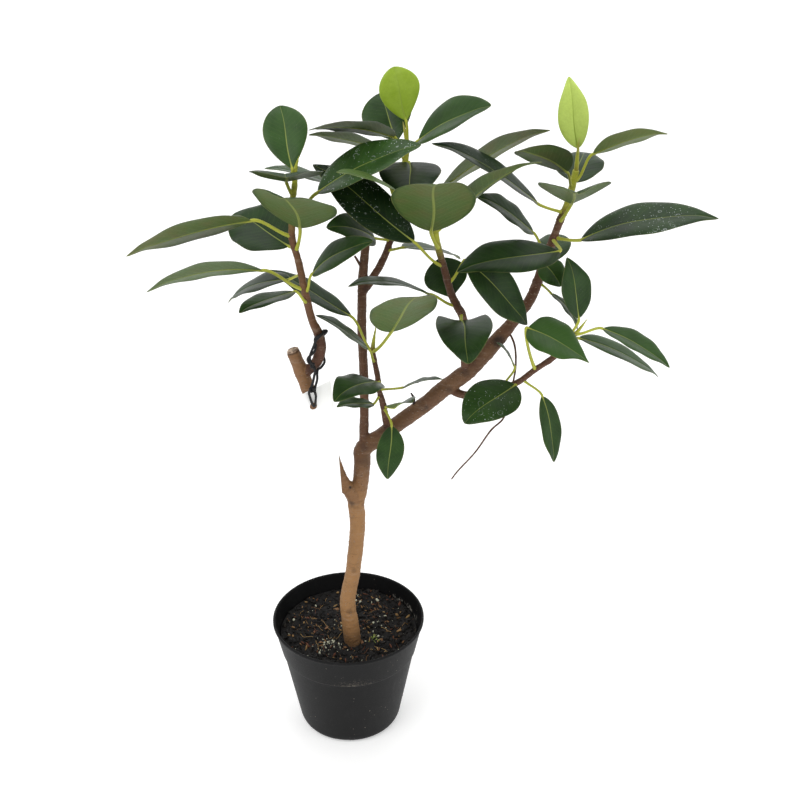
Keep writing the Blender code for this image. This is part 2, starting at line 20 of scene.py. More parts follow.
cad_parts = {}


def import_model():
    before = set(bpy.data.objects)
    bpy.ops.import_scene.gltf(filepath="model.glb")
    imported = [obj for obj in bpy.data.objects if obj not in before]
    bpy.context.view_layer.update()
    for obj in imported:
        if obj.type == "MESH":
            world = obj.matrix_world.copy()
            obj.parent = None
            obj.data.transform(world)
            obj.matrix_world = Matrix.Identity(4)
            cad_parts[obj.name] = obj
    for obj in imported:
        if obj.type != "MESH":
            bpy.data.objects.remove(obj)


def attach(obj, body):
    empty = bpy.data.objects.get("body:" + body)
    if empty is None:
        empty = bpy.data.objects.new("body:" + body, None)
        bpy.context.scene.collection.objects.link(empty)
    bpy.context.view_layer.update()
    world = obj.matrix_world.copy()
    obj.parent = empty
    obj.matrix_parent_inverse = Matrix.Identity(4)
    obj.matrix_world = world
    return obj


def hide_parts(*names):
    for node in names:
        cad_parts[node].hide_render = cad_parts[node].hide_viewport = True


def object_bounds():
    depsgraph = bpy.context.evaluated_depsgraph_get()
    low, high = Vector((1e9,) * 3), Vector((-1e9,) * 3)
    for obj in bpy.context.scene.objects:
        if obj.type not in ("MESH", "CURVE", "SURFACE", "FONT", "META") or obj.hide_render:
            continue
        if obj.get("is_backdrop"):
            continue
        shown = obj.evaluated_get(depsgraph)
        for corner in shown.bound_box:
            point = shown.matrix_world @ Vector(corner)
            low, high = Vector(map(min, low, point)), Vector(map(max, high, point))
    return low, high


LOG = logging.getLogger("fig")
MM = 0.001

Colour = tuple[float, float, float]
Triple = tuple[float, float, float]
Shape = Callable[[np.ndarray, np.ndarray], np.ndarray]


class Slot(Enum):
    """Material slots of the part."""

    POT = "pot_plastic"
    SOIL = "soil"
    BARK = "bark"
    GREEN = "leaf_green"
    YOUNG = "leaf_young"
    PAPER = "tag_paper"
    ELASTIC = "tag_elastic"


class Stem(NamedTuple):
    """Points up the middle of a stem with the radius at each of them."""

    points: tuple[Triple, ...]
    radii: tuple[float, ...]


class Leaf(NamedTuple):
    """A leaf from its place on a stem: blade base and tip, and the way its top side faces."""

    name: str
    stem: str
    place: float
    base: Triple
    tip: Triple
    width: float
    face: Triple
    fold: float = 10.0
    arch: float = 0.05
    belly: float = 0.45


class Habit(NamedTuple):
    """How one leaf departs from the rest: hue, wetness, and bends of its blade."""

    tone: float = 0.0
    pale: float = 0.0
    wet: float = 0.0
    twist: float = 0.0
    wave: float = 0.4
    hook: float = 0.0
    point: float = 0.15
    heart: float = 0.0


STEMS: dict[str, Stem] = {
    "trunk": Stem(
        ((4, -20, 62), (4, -20, 84), (1, -19, 115), (1, -17, 128), (5, -14, 148), (8, -11, 175),
         (9, -8, 191), (8, -6, 205), (11, -4, 217), (13, -2, 236), (14, 0, 248), (27, 0, 258),
         (41, 0, 270), (58, 1, 283), (74, 2, 297), (91, 3, 311), (103, 3, 325), (111, 4, 335),
         (123, 6, 350), (131, 7, 361), (136, 8, 373), (140, 8, 388), (145, 8, 404), (150, 7, 422),
         (154, 6, 433), (156, 5, 444), (158, 4, 457)),
        (7.5, 6.9, 6.2, 6.0, 5.8, 5.8, 6.0, 6.4, 6.1, 6.2, 6.6, 6.2, 5.9, 5.9, 6.2, 5.9, 5.6, 5.4,
         4.0, 3.8, 3.6, 3.3, 3.1, 2.7, 2.6, 2.5, 2.3)),
    "pole": Stem(
        ((14, 0, 248), (15, 1, 279), (15, 2, 310), (14, 4, 345), (15, 6, 378), (17, 7, 400),
         (18, 8, 412)),
        (3.6, 3.3, 3.3, 3.3, 3.4, 3.0, 2.8)),
    "pole_stub": Stem(((15, 6, 386), (12, 4, 393), (10, 3, 397)), (1.0, 0.9, 0.8)),
    "centre": Stem(
        ((15, 5, 370), (20, 4, 377), (24, 4, 384), (28, 5, 391), (32, 6, 400), (36, 8, 413),
         (40, 12, 434), (44, 15, 457), (46, 17, 472)),
        (3.0, 2.9, 2.8, 2.6, 2.5, 2.5, 2.4, 2.3, 2.1)),
    "mid": Stem(
        ((88, 3, 310), (87, -5, 330), (85, -10, 355), (80, -13, 367), (76, -15, 376),
         (72, -19, 391), (68, -22, 406), (65, -24, 418), (64, -25, 429)),
        (3.6, 3.2, 3.0, 2.9, 2.8, 2.6, 2.4, 2.3, 2.1)),
    "low_centre": Stem(
        ((32, 0, 264), (29, -5, 286), (26, -7, 300), (25, -9, 312), (23, -11, 325),
         (22, -12, 333), (23, -13, 343), (25, -14, 355)),
        (3.2, 2.4, 2.1, 2.1, 2.0, 1.9, 1.2, 0.4)),
    "low_right": Stem(
        ((76, 3, 297), (84, -2, 294), (93, -4, 294), (109, -9, 300), (124, -14, 309),
         (135, -17, 320), (146, -20, 330), (153, -21, 338), (159, -22, 347), (163, -23, 353),
         (169, -24, 363)),
        (3.6, 3.1, 2.7, 2.4, 2.3, 2.2, 2.2, 2.2, 2.1, 1.3, 0.4)),
    "stub": Stem(
        ((9, -6, 205), (3, -9, 218), (-3, -10, 228), (-13, -12, 262), (-23, -15, 301),
         (-28, -16, 318), (-33.8, -17, 335.8)),
        (5.8, 5.4, 5.2, 5.2, 5.0, 5.2, 4.6)),
    "left": Stem(
        ((-27, -16, 316), (-22, -17, 321), (-17, -18, 327), (-14, -19, 336), (-14, -19, 344),
         (-16, -20, 352), (-19, -20, 359), (-22, -21, 374), (-25, -21, 392), (-27, -22, 405),
         (-30, -22, 417), (-30, -22, 426), (-29, -23, 442), (-27, -23, 454), (-26, -23, 465),
         (-23, -23, 475)),
        (3.4, 3.6, 3.9, 3.8, 3.6, 3.2, 2.8, 2.7, 2.5, 2.4, 2.4, 2.3, 2.2, 2.1, 1.5, 0.4)),
    "air_root": Stem(
        ((117, 5, 342), (122, 0, 332), (123, -6, 320), (122, -5, 306), (119, -3, 288),
         (116, -4, 275), (107, -6, 266), (96, -8, 249), (84, -10, 235), (79, -11, 228)),
        (0.9, 0.8, 0.7, 0.7, 0.7, 0.7, 0.7, 0.6, 0.6, 0.5)),
    "limb_hook": Stem(((51, 0, 280), (51, 0, 289), (49, -1, 294)), (1.1, 1.0, 0.7)),
}

LEAVES: tuple[Leaf, ...] = (
    Leaf("leaf_left_01", "left", 13.5, (-28, -24, 466), (-37, 5, 500), 29, (1, -10, 5),
         8, 0.03, 0.58),
    Leaf("leaf_left_02", "left", 12.6, (-32, -26, 458), (-27, -78, 477), 46, (0, 3, 10), 9),
    Leaf("leaf_left_03", "left", 9.5, (-24, -30, 428), (-28, -95, 470), 52, (2, 6, 10), 14),
    Leaf("leaf_left_04", "left", 9.6, (-33, -14, 410), (-76, 30, 419), 44, (-1, -5, 10)),
    Leaf("leaf_left_05", "left", 10.4, (-55, -32, 434), (-134, -50, 417), 44, (0, 14, 20), 8, 0.03),
    Leaf("leaf_left_06", "left", 7.5, (-50, -30, 399), (-125, -45, 391), 40, (0, 14, 20), 8, 0.07),
    Leaf("leaf_left_07", "left", 8.0, (-34, -12, 386), (-81, 12, 360), 28, (0, -2, 10), 8, 0.08),
    Leaf("leaf_left_08", "left", 7.0, (-29, -35, 386), (-63, -60, 382), 30, (0, 2, 10), 8, 0.03),
    Leaf("leaf_left_09", "left", 7.4, (-17, -28, 396), (23, -50, 427), 24, (0, -6, 10), 8, 0.08),
    Leaf("leaf_left_10", "left", 11.4, (-12, -27, 451), (54, -21, 482), 44, (0, -2, 10), 12),
    Leaf("leaf_centre_01", "centre", 8.0, (45, 16, 487), (37, 22, 521), 27, (1, -10, 2),
         8, 0.03, 0.6),
    Leaf("leaf_centre_02", "centre", 7.6, (39, 22, 472), (27, 45, 499), 35, (0, -10, 5),
         8, 0.03, 0.58),
    Leaf("leaf_centre_03", "centre", 7.3, (37, 12, 477), (-17, -20, 491), 36, (0, 5, 10), 8),
    Leaf("leaf_centre_04", "centre", 6.0, (26, 14, 469), (-19, 6, 481), 32, (0, 5, 10), 8, 0.03),
    Leaf("leaf_centre_05", "centre", 7.0, (47, 8, 461), (48, -45, 454), 40, (0, -1, 10)),
    Leaf("leaf_centre_06", "centre", 7.6, (53, 10, 475), (98, -15, 505), 38, (-4, -4, 10), 16),
    Leaf("leaf_centre_07", "centre", 4.6, (24, -3, 412), (-6, -33, 430), 24, (0, -9, 10), 8, 0.1),
    Leaf("leaf_centre_08", "centre", 4.1, (43, -2, 405), (84, 30, 386), 26, (0, 0, 10), 8),
    Leaf("leaf_centre_09", "centre", 5.5, (1, 20, 439), (-50, 15, 456), 36, (0, 1, 10), 8),
    Leaf("leaf_mid_01", "mid", 5.6, (50, -36, 421), (-16, -4, 464), 31, (-1, -6, 10), 8, 0.03),
    Leaf("leaf_mid_02", "mid", 6.6, (61, -36, 428), (62, -100, 480), 52, (0, 10, 14), 12),
    Leaf("leaf_mid_03", "mid", 7.8, (68, 12, 441), (142, 32, 478), 40, (0, 7, 10), 10),
    Leaf("leaf_mid_04", "mid", 7.6, (75, -24, 434), (126, -70, 485), 34, (0, 1, 10), 16),
    Leaf("leaf_mid_05", "mid", 4.7, (84, -24, 404), (129, -20, 356), 30, (2, -5, 5), 10),
    Leaf("leaf_mid_06", "mid", 2.4, (83, -20, 359), (85, -75, 353), 38, (0, -4, 10), 6, 0.1, 0.34),
    Leaf("leaf_mid_07", "mid", 6.3, (69, 0, 397), (76, -8, 371), 30, (0, -10, 5), 6, 0.03),
    Leaf("leaf_mid_08", "mid", 3.2, (61, -22, 379), (7, -45, 395), 28, (0, 1, 10), 8, 0.08),
    Leaf("leaf_mid_09", "mid", 8.0, (39, -55, 460.6), (3, -70, 477.6), 26, (0, 0, 10), 8),
    Leaf("leaf_low_01", "low_centre", 5.0, (35, -31, 355), (54, -92, 407), 44, (-2, 8, 12), 8, 0.04),
    Leaf("leaf_low_02", "low_centre", 4.9, (7, -8, 357), (-51, 17, 383), 24, (0, 0, 10), 6, 0.02),
    Leaf("leaf_low_03", "low_centre", 4.0, (19, -20, 338), (-15, -33, 369), 25, (0, -1, 10), 8, 0.03),
    Leaf("leaf_low_04", "low_centre", 2.6, (26, -20, 312), (-3, -60, 318), 30, (0, -2, 10), 8, 0.1),
    Leaf("leaf_low_05", "low_centre", 1.6, (22, -12, 291), (-3, -30, 298), 18, (0, -1, 10)),
    Leaf("leaf_low_06", "low_centre", 2.0, (43, -12, 304), (71, -22, 316), 18, (0, 2, 10)),
    Leaf("leaf_low_07", "low_centre", 1.0, (37, -14, 289), (49, -35, 304), 22, (0, -1, 10), 14),
    Leaf("leaf_low_08", "low_centre", 0.9, (35, -14, 274), (32, -25, 236), 20, (1, -10, 2), 6),
    Leaf("leaf_right_01", "trunk", 23.4, (133, -3, 436), (62, -18, 482), 31, (0, -2, 10), 12),
    Leaf("leaf_right_02", "trunk", 26.0, (158, 3, 472), (150, 10, 517), 20, (-2, -10, 2), 8),
    Leaf("leaf_right_03", "trunk", 25.0, (159, 12, 446), (170, 60, 455), 34, (0, -3, 10), 8),
    Leaf("leaf_right_04", "trunk", 25.2, (150, -8, 459), (113, -45, 484), 29, (0, 8, 10), 16),
    Leaf("leaf_right_05", "trunk", 25.5, (168, 0, 469), (212, -15, 487), 30, (0, 6, 10), 12),
    Leaf("leaf_right_06", "trunk", 23.0, (155, -6, 437), (148, -74, 466), 46, (0, 6, 10), 24, 0.03),
    Leaf("leaf_right_07", "trunk", 22.3, (163, -4, 411), (252, -15, 429), 42, (0, -2, 10), 8, 0.09),
    Leaf("leaf_right_08", "trunk", 22.2, (147, -18, 408), (78, -45, 405), 42, (0, -2, 10), 8, 0.03),
    Leaf("leaf_right_09", "trunk", 21.8, (147, 14, 389), (154, 55, 396), 24, (0, 0, 10)),
    Leaf("leaf_right_10", "trunk", 21.6, (133, 14, 410), (92, -2, 442), 26, (0, -4, 10)),
    Leaf("leaf_right_11", "trunk", 21.2, (137, -1, 394), (151, -10, 380), 24, (1, -4, 10), 6, 0.12),
    Leaf("leaf_right_12", "trunk", 20.2, (146, 2, 370), (165, -10, 348), 16, (2, 1, 10), 6, 0.1),
    Leaf("leaf_fork_01", "low_right", 3.6, (122, -20, 310), (85, -50, 296), 36, (-2, -6, 10), 8),
    Leaf("leaf_fork_02", "low_right", 3.4, (120, -24, 327), (107, -32, 348), 12, (2, -2, 10), 8),
    Leaf("leaf_fork_03", "low_right", 5.1, (126, -40, 362), (167, -55, 344), 42, (1, -2, 10),
         8, 0.05, 0.36),
    Leaf("leaf_fork_04", "low_right", 4.3, (141, -22, 302), (150, -40, 259), 20, (7, -8, 3), 8),
    Leaf("leaf_fork_05", "low_right", 7.6, (165, -14, 343), (226, -5, 310), 28, (0, -1, 10), 8),
    Leaf("leaf_fork_06", "low_right", 8.6, (179, -25, 355), (223, -45, 336), 28, (0, 0, 10), 12),
    Leaf("leaf_fork_07", "low_right", 8.0, (162, -26, 363), (154, -10, 401), 28, (5, -6, 3), 10),
)

HABITS: dict[str, Habit] = {
    "leaf_left_01": Habit(tone=0.5, wave=0.2, point=0.0),
    "leaf_left_02": Habit(tone=-0.2, wet=0.3),
    "leaf_left_03": Habit(tone=0.1, twist=6, point=0.05),
    "leaf_left_04": Habit(tone=-0.3, wave=1.0),
    "leaf_left_05": Habit(tone=0.4, wave=0.35, hook=-0.03, point=0.3),
    "leaf_left_06": Habit(tone=-0.5, wave=0.3, point=0.3),
    "leaf_left_09": Habit(tone=0.2, wave=0.2, point=0.05),
    "leaf_left_10": Habit(tone=0.25, wet=1.0, wave=0.3, point=0.1),
    "leaf_centre_01": Habit(tone=-0.7, pale=1.0, wave=0.15, point=0.0),
    "leaf_centre_02": Habit(tone=0.1, wet=0.7, wave=0.2, point=0.0),
    "leaf_centre_03": Habit(tone=0.1),
    "leaf_centre_04": Habit(tone=0.0),
    "leaf_centre_05": Habit(tone=-0.7, wet=0.3, point=0.0),
    "leaf_centre_06": Habit(tone=0.3, wet=0.4, wave=0.2, point=0.1),
    "leaf_centre_07": Habit(tone=0.0, wave=0.2, point=0.05),
    "leaf_mid_01": Habit(tone=-0.8, wet=0.9, wave=0.25, point=0.22),
    "leaf_mid_02": Habit(tone=0.1, twist=-5, wave=0.25, point=0.0),
    "leaf_mid_03": Habit(tone=0.7, wave=0.35, point=0.3),
    "leaf_mid_06": Habit(tone=-0.2, wave=0.3, point=0.0, heart=0.2),
    "leaf_mid_09": Habit(tone=0.55, pale=0.08, wave=0.15),
    "leaf_low_01": Habit(tone=0.0, wave=0.3, point=0.0),
    "leaf_low_04": Habit(tone=-0.1, wave=0.9, twist=8),
    "leaf_low_08": Habit(tone=0.3, wave=0.2, wet=0.3),
    "leaf_right_01": Habit(tone=-0.9, wet=0.6, wave=0.3, point=0.2),
    "leaf_right_02": Habit(tone=0.8, pale=1.0, wave=0.2, point=0.2),
    "leaf_right_04": Habit(tone=0.2),
    "leaf_right_05": Habit(tone=0.3, pale=0.1, point=0.2),
    "leaf_right_07": Habit(tone=-0.1, wet=1.0, hook=-0.05, wave=0.3, point=0.25),
    "leaf_right_08": Habit(tone=-0.4, wet=0.2, wave=0.3, point=0.2),
    "leaf_fork_01": Habit(tone=0.35, wet=0.9, wave=0.3, point=0.05),
    # Fork_03, fork_05, fork_06 and right_11 get a high tone: partly their lighter green, partly
    # painted sheen in place of the grey highlight that light gives them.
    "leaf_fork_03": Habit(tone=1.2, wave=0.5, point=0.55, heart=0.05),
    "leaf_fork_05": Habit(tone=0.8, wave=0.3, point=0.2),
    "leaf_fork_06": Habit(tone=0.8, wave=0.3, point=0.15),
    "leaf_right_11": Habit(tone=0.8, wave=0.2, point=0.15),
    "leaf_mid_05": Habit(tone=-0.1, wave=0.3, point=0.22),
}
YOUNG_LEAVES = ("leaf_centre_01", "leaf_right_02")

# Stipule spikes: stem, place, the way each points and its length.
SPIKES: tuple[tuple[str, float, Triple, float], ...] = (
    ("centre", 8.0, (-0.25, 0.0, 1.0), 15.0),
    ("mid", 8.0, (-0.05, -0.15, 1.0), 14.0),
    ("trunk", 26.0, (-0.02, -0.16, 1.0), 23.0),
)

# Dark or pale marks on the wood, scars and painted crease shade: centre, reach, and how dark (above
# 0) or pale (below 0).
SCARS_AND_CREASE_SHADE: tuple[tuple[Triple, float, float], ...] = (
    ((111, -1, 335), 6.5, 0.75), ((4, -14, 207), 5.0, 0.6), ((14, -5, 240), 6.0, 0.35),
    ((15, -4, 251), 5.0, 0.45), ((49, -1, 293), 5.0, 0.95), ((-20, -20, 322), 5.5, 0.55),
    ((10, 3, 397), 3.0, 0.7), ((88, -1, 311), 5.0, 0.45), ((32, -4, 267), 4.5, 0.5),
    ((76, -2, 298), 4.5, 0.45), ((2, -25, 118), 3.5, 0.35), ((6, -19, 152), 3.0, 0.3),
    ((60, -4, 284), 3.0, 0.4), ((18, 3, 373), 4.0, 0.5),
    # The last six marks are painted shade: a dark line along the crease where the stub leaves the
    # trunk.
    ((4.6, -13.5, 222.5), 1.8, 0.9), ((7, -13.5, 221), 1.8, 0.9), ((9.9, -13.5, 217.6), 1.8, 0.9),
    ((11.7, -13.5, 213.3), 1.8, 0.9), ((11.6, -13.5, 208), 1.8, 0.9),
    ((9.7, -13.5, 205.5), 1.8, 0.8),
)

STRING_ROUTE: tuple[Triple, ...] = (
    (-11.2, -22.2, 350.8), (-14.1, -24.6, 348.9), (-16.5, -24.9, 346.2), (-18.2, -24.9, 341.8),
    (-19.9, -24.9, 337.7), (-21.1, -24.9, 333.6), (-20.5, -25.3, 329.6), (-18.8, -25.9, 326.4),
    (-17.7, -26.2, 323.8), (-18.5, -26.3, 319.7), (-19.6, -26.4, 314.8), (-21.1, -26.8, 310.4),
    (-22.4, -27, 307.3), (-21.7, -26.8, 303), (-20.8, -26.5, 299.2), (-20.1, -25.3, 296.7),
    (-19.3, -24.5, 295.5), (-18.5, -25.2, 297), (-18.1, -26, 300.6), (-17.8, -26.5, 304.6),
    (-18.3, -26.4, 308), (-18, -26.2, 311.3), (-16.5, -26, 317), (-16.4, -24.9, 321),
    (-15.9, -23.5, 323.6), (-13.9, -22, 324.4), (-11.6, -19, 327), (-12.2, -14.6, 329),
    (-13.2, -13.6, 334), (-13.2, -13.6, 339.6), (-12.2, -14, 344.6), (-10.6, -15.2, 348.2),
    (-9.8, -18.6, 350.8),
)


def srgb(red: int, green: int, blue: int) -> Colour:
    """Turn a display colour into a linear one.

    Args:
        red, green, blue: Channel values from 0 to 255.
    Returns:
        The linear colour.
    """
    return tuple(((c / 255 + 0.055) / 1.055) ** 2.4 if c > 10 else c / 3294.6
                 for c in (red, green, blue))


def smooth(value: np.ndarray, low: float, high: float) -> np.ndarray:
    """Smoothstep of an array between two limits.

    Args:
        value: Any array.
        low, high: Where the step starts and ends.
    Returns:
        Values from 0 to 1.
    """
    t = np.clip((value - low) / (high - low), 0.0, 1.0)
    return t * t * (3.0 - 2.0 * t)


def ripple(points: np.ndarray, reach: float, seed: float = 0.0) -> np.ndarray:
    """Smooth noise at many points.

    Args:
        points: N by 3 places in millimetres.
        reach: Size of one bump in millimetres.
        seed: Shifts the pattern.
    Returns:
        N values from about -1 to 1.
    """
    shift = Vector((seed, seed * 1.7, -seed))
    return np.array([noise.noise(Vector(p) / reach + shift) for p in points])


def smooth_point(points: Sequence[Triple], place: float) -> tuple[Vector, Vector]:
    """Point and direction of the smooth curve through the points.

    Args:
        points: The named points.
        place: A fractional index into them.
    Returns:
        The point and the unit direction there.
    """
    last = len(points) - 1
    place = float(place)
    i = min(int(place), last - 1)
    t = place - i
    b, c = Vector(points[i]), Vector(points[i + 1])
    a = Vector(points[i - 1]) if i > 0 else 2 * b - c
    d = Vector(points[i + 2]) if i + 2 <= last else 2 * c - b
    start, end = (c - a) / 2, (d - b) / 2
    point = ((2 * t**3 - 3 * t**2 + 1) * b + (t**3 - 2 * t**2 + t) * start
             + (3 * t**2 - 2 * t**3) * c + (t**3 - t**2) * end)
    slope = ((6 * t**2 - 6 * t) * (b - c) + (3 * t**2 - 4 * t + 1) * start
             + (3 * t**2 - 2 * t) * end)
    return point, slope.normalized()


def stem_radius(stem: Stem, place: float) -> float:
    """Radius of a stem at a fractional index."""
    return float(np.interp(place, range(len(stem.radii)), stem.radii))


class Body:
    """A mesh in the making, in millimetres, with named marks on its vertices."""

    def __init__(self, marks: Iterable[str] = ()) -> None:
        """Start an empty mesh with a float layer for each mark."""
        self.bm = bmesh.new()
        for mark in marks:
            self.bm.verts.layers.float.new(mark)

    def patch(self, columns: int, rows: int, shape: Shape,
              marks: Callable | None = None, close: bool = True) -> None:
        """Lay a grid over a shape that is given by two shares.

        Args:
            columns, rows: Faces across and along the grid.
            shape: Gives N by 3 places for arrays of the two shares.
            marks: Gives a value or an array for each mark, from the same arrays.
            close: Whether the seam is joined and the ends are capped.
        """
        made = bmesh.ops.create_grid(self.bm, x_segments=columns, y_segments=rows, size=0.5)
        verts = made["verts"]
        share = np.array([vert.co[:2] for vert in verts]) + 0.5
        across, along = share[:, 0], share[:, 1]
        for vert, place in zip(verts, shape(across, along)):
            vert.co = place
        for name, value in (marks(across, along) if marks else {}).items():
            layer = self.bm.verts.layers.float[name]
            for vert, one in zip(verts, np.broadcast_to(value, len(verts))):
                vert[layer] = float(one)
        if close:
            bmesh.ops.remove_doubles(self.bm, verts=verts, dist=0.004)
            edges = [edge for edge in self.bm.edges if edge.is_boundary]
            bmesh.ops.holes_fill(self.bm, edges=edges, sides=0)

    def tube(self, points: Sequence[Vector], radii: Sequence[float], sides: int,
             marks: Callable | None = None) -> None:
        """Lay a round tube along points.

        Args:
            points: The middle of the tube.
            radii: The radius at each point.
            sides: Faces around the tube.
            marks: As for a patch; the second share runs along the tube.
        """
        centres = np.array([tuple(p) for p in points])
        slopes = np.gradient(centres, axis=0)
        slopes /= np.linalg.norm(slopes, axis=1)[:, None]
        side = Vector(slopes[0]).orthogonal().normalized()
        firsts, seconds = [], []
        for slope in slopes:
            along = Vector(slope)
            side = (side - along * side.dot(along)).normalized()
            firsts.append(tuple(side))
            seconds.append(tuple(along.cross(side)))
        first, second, girth = np.array(firsts), np.array(seconds), np.array(radii)
        rows = len(centres) - 1

        def shape(across: np.ndarray, along: np.ndarray) -> np.ndarray:
            """Places on the tube's skin."""
            row = np.rint(along * rows).astype(int)
            turn = (2 * np.pi * across)[:, None]
            ring = np.cos(turn) * first[row] + np.sin(turn) * second[row]
            return centres[row] + girth[row][:, None] * ring

        self.patch(sides, rows, shape, marks)

    def lump(self, place: Vector, size: Triple, turn: Matrix, detail: int, rough: float,
             rng: random.Random, marks: dict[str, float] | None = None) -> None:
        """Add a small uneven ball.

        Args:
            place: Its centre.
            size: Its half lengths.
            turn: Its rotation.
            detail: How finely the ball is divided.
            rough: How far its corners move, as a share of its size.
            rng: Where its unevenness comes from.
            marks: One value for each mark.
        """
        made = bmesh.ops.create_icosphere(self.bm, subdivisions=detail, radius=1.0)["verts"]
        for vert in made:
            vert.co *= 1 + rng.uniform(-rough, rough)
            for name, value in (marks or {}).items():
                vert[self.bm.verts.layers.float[name]] = value
        bmesh.ops.scale(self.bm, vec=size, verts=made)
        bmesh.ops.rotate(self.bm, verts=made, cent=(0, 0, 0), matrix=turn)
        bmesh.ops.translate(self.bm, vec=place, verts=made)

    def spin(self, profile: Sequence[tuple[float, float]], sides: int) -> None:
        """Turn a profile about the upright axis.

        Args:
            profile: Radius and height at each corner.
            sides: Faces around the axis.
        """
        chain = [self.bm.verts.new((radius, 0, height)) for radius, height in profile]
        edges = [self.bm.edges.new(pair) for pair in zip(chain, chain[1:])]
        bmesh.ops.spin(self.bm, geom=chain + edges, cent=(0, 0, 0), axis=(0, 0, 1), steps=sides,
                       angle=2 * math.pi, use_merge=True)
        bmesh.ops.remove_doubles(self.bm, verts=self.bm.verts, dist=0.001)

    def finish(self, name: str, material: bpy.types.Material | None = None,
               sharp: float = 50.0) -> bpy.types.Object:
        """Turn the body into an object.

        Args:
            name: The object's name.
            material: Its material.
            sharp: Edges that turn more than this many degrees stay sharp.
        Returns:
            The object, in metres.
        """
        bmesh.ops.scale(self.bm, vec=(MM, MM, MM), verts=self.bm.verts)
        bmesh.ops.recalc_face_normals(self.bm, faces=self.bm.faces)
        mesh = bpy.data.meshes.new(name)
        self.bm.to_mesh(mesh)
        self.bm.free()
        return self.object_of(name, mesh, material, sharp)

    @staticmethod
    def object_of(name: str, mesh: bpy.types.Mesh, material: bpy.types.Material | None = None,
                  sharp: float = 50.0) -> bpy.types.Object:
        """Link a mesh to the scene, smoothly shaded.

        Args:
            name: The object's name.
            mesh: Its mesh, in metres.
            material: Its material.
            sharp: Edges that turn more than this many degrees stay sharp.
        Returns:
            The object.
        """
        mesh.shade_smooth()
        mesh.set_sharp_from_angle(angle=math.radians(sharp))
        if material:
            mesh.materials.clear()
            mesh.materials.append(material)
        made = bpy.data.objects.new(name, mesh)
        bpy.context.scene.collection.objects.link(made)
        return made


def settled(source: bpy.types.Object, spare: Iterable[bpy.types.Object] = ()) -> bpy.types.Mesh:
    """Settle the modifiers of an object into a mesh and remove the object.

    Args:
        source: The object.
        spare: Tools of its modifiers, which are removed too.
    Returns:
        The mesh.
    """
    bpy.context.view_layer.update()
    graph = bpy.context.evaluated_depsgraph_get()
    mesh = bpy.data.meshes.new_from_object(source.evaluated_get(graph))
    for old in (source, *spare):
        bpy.data.objects.remove(old, do_unlink=True)
    return mesh


@dataclass(frozen=True)
class Sock:
    """A value inside a shader that can be used in arithmetic."""

    shade: "Shade"
    out: bpy.types.NodeSocket

    def math(self, operation: str, first: "Sock | float", second: "Sock | float") -> "Sock":
        """One Math node."""
        return self.shade.node("Math", {"operation": operation}, {0: first, 1: second})

    def __add__(self, other: "Sock | float") -> "Sock":
        """This value plus another."""
        return self.math("ADD", self, other)

    def __radd__(self, other: "Sock | float") -> "Sock":
        """Another value plus this."""
        return self.math("ADD", other, self)

    def __sub__(self, other: "Sock | float") -> "Sock":
        """This value less another."""
        return self.math("SUBTRACT", self, other)

    def __rsub__(self, other: "Sock | float") -> "Sock":
        """Another value less this."""
        return self.math("SUBTRACT", other, self)

    def __mul__(self, other: "Sock | float") -> "Sock":
        """This value times another."""
        return self.math("MULTIPLY", self, other)

    def __rmul__(self, other: "Sock | float") -> "Sock":
        """Another value times this."""
        return self.math("MULTIPLY", other, self)

    def __truediv__(self, other: "Sock | float") -> "Sock":
        """This value over another."""
        return self.math("DIVIDE", self, other)

    def __rtruediv__(self, other: "Sock | float") -> "Sock":
        """Another value over this."""
        return self.math("DIVIDE", other, self)

    def __abs__(self) -> "Sock":
        """This value without its sign."""
        return self.math("ABSOLUTE", self, 0.0)

    def most(self, other: "Sock | float") -> "Sock":
        """The larger of this and another value."""
        return self.math("MAXIMUM", self, other)

    def fraction(self) -> "Sock":
        """The part after the whole number."""
        return self.math("FRACT", self, 0.0)

    def clamp(self) -> "Sock":
        """This value kept between 0 and 1."""
        return self.shade.node("Clamp", None, {"Value": self})

    def step(self, low: float, high: float) -> "Sock":
        """Smooth rise from 0 to 1 between two limits; the limits may run downwards."""
        if low > high:
            return 1.0 - self.step(high, low)
        return self.shade.node("MapRange", {"interpolation_type": "SMOOTHSTEP"},
                               {"Value": self, "From Min": low, "From Max": high})


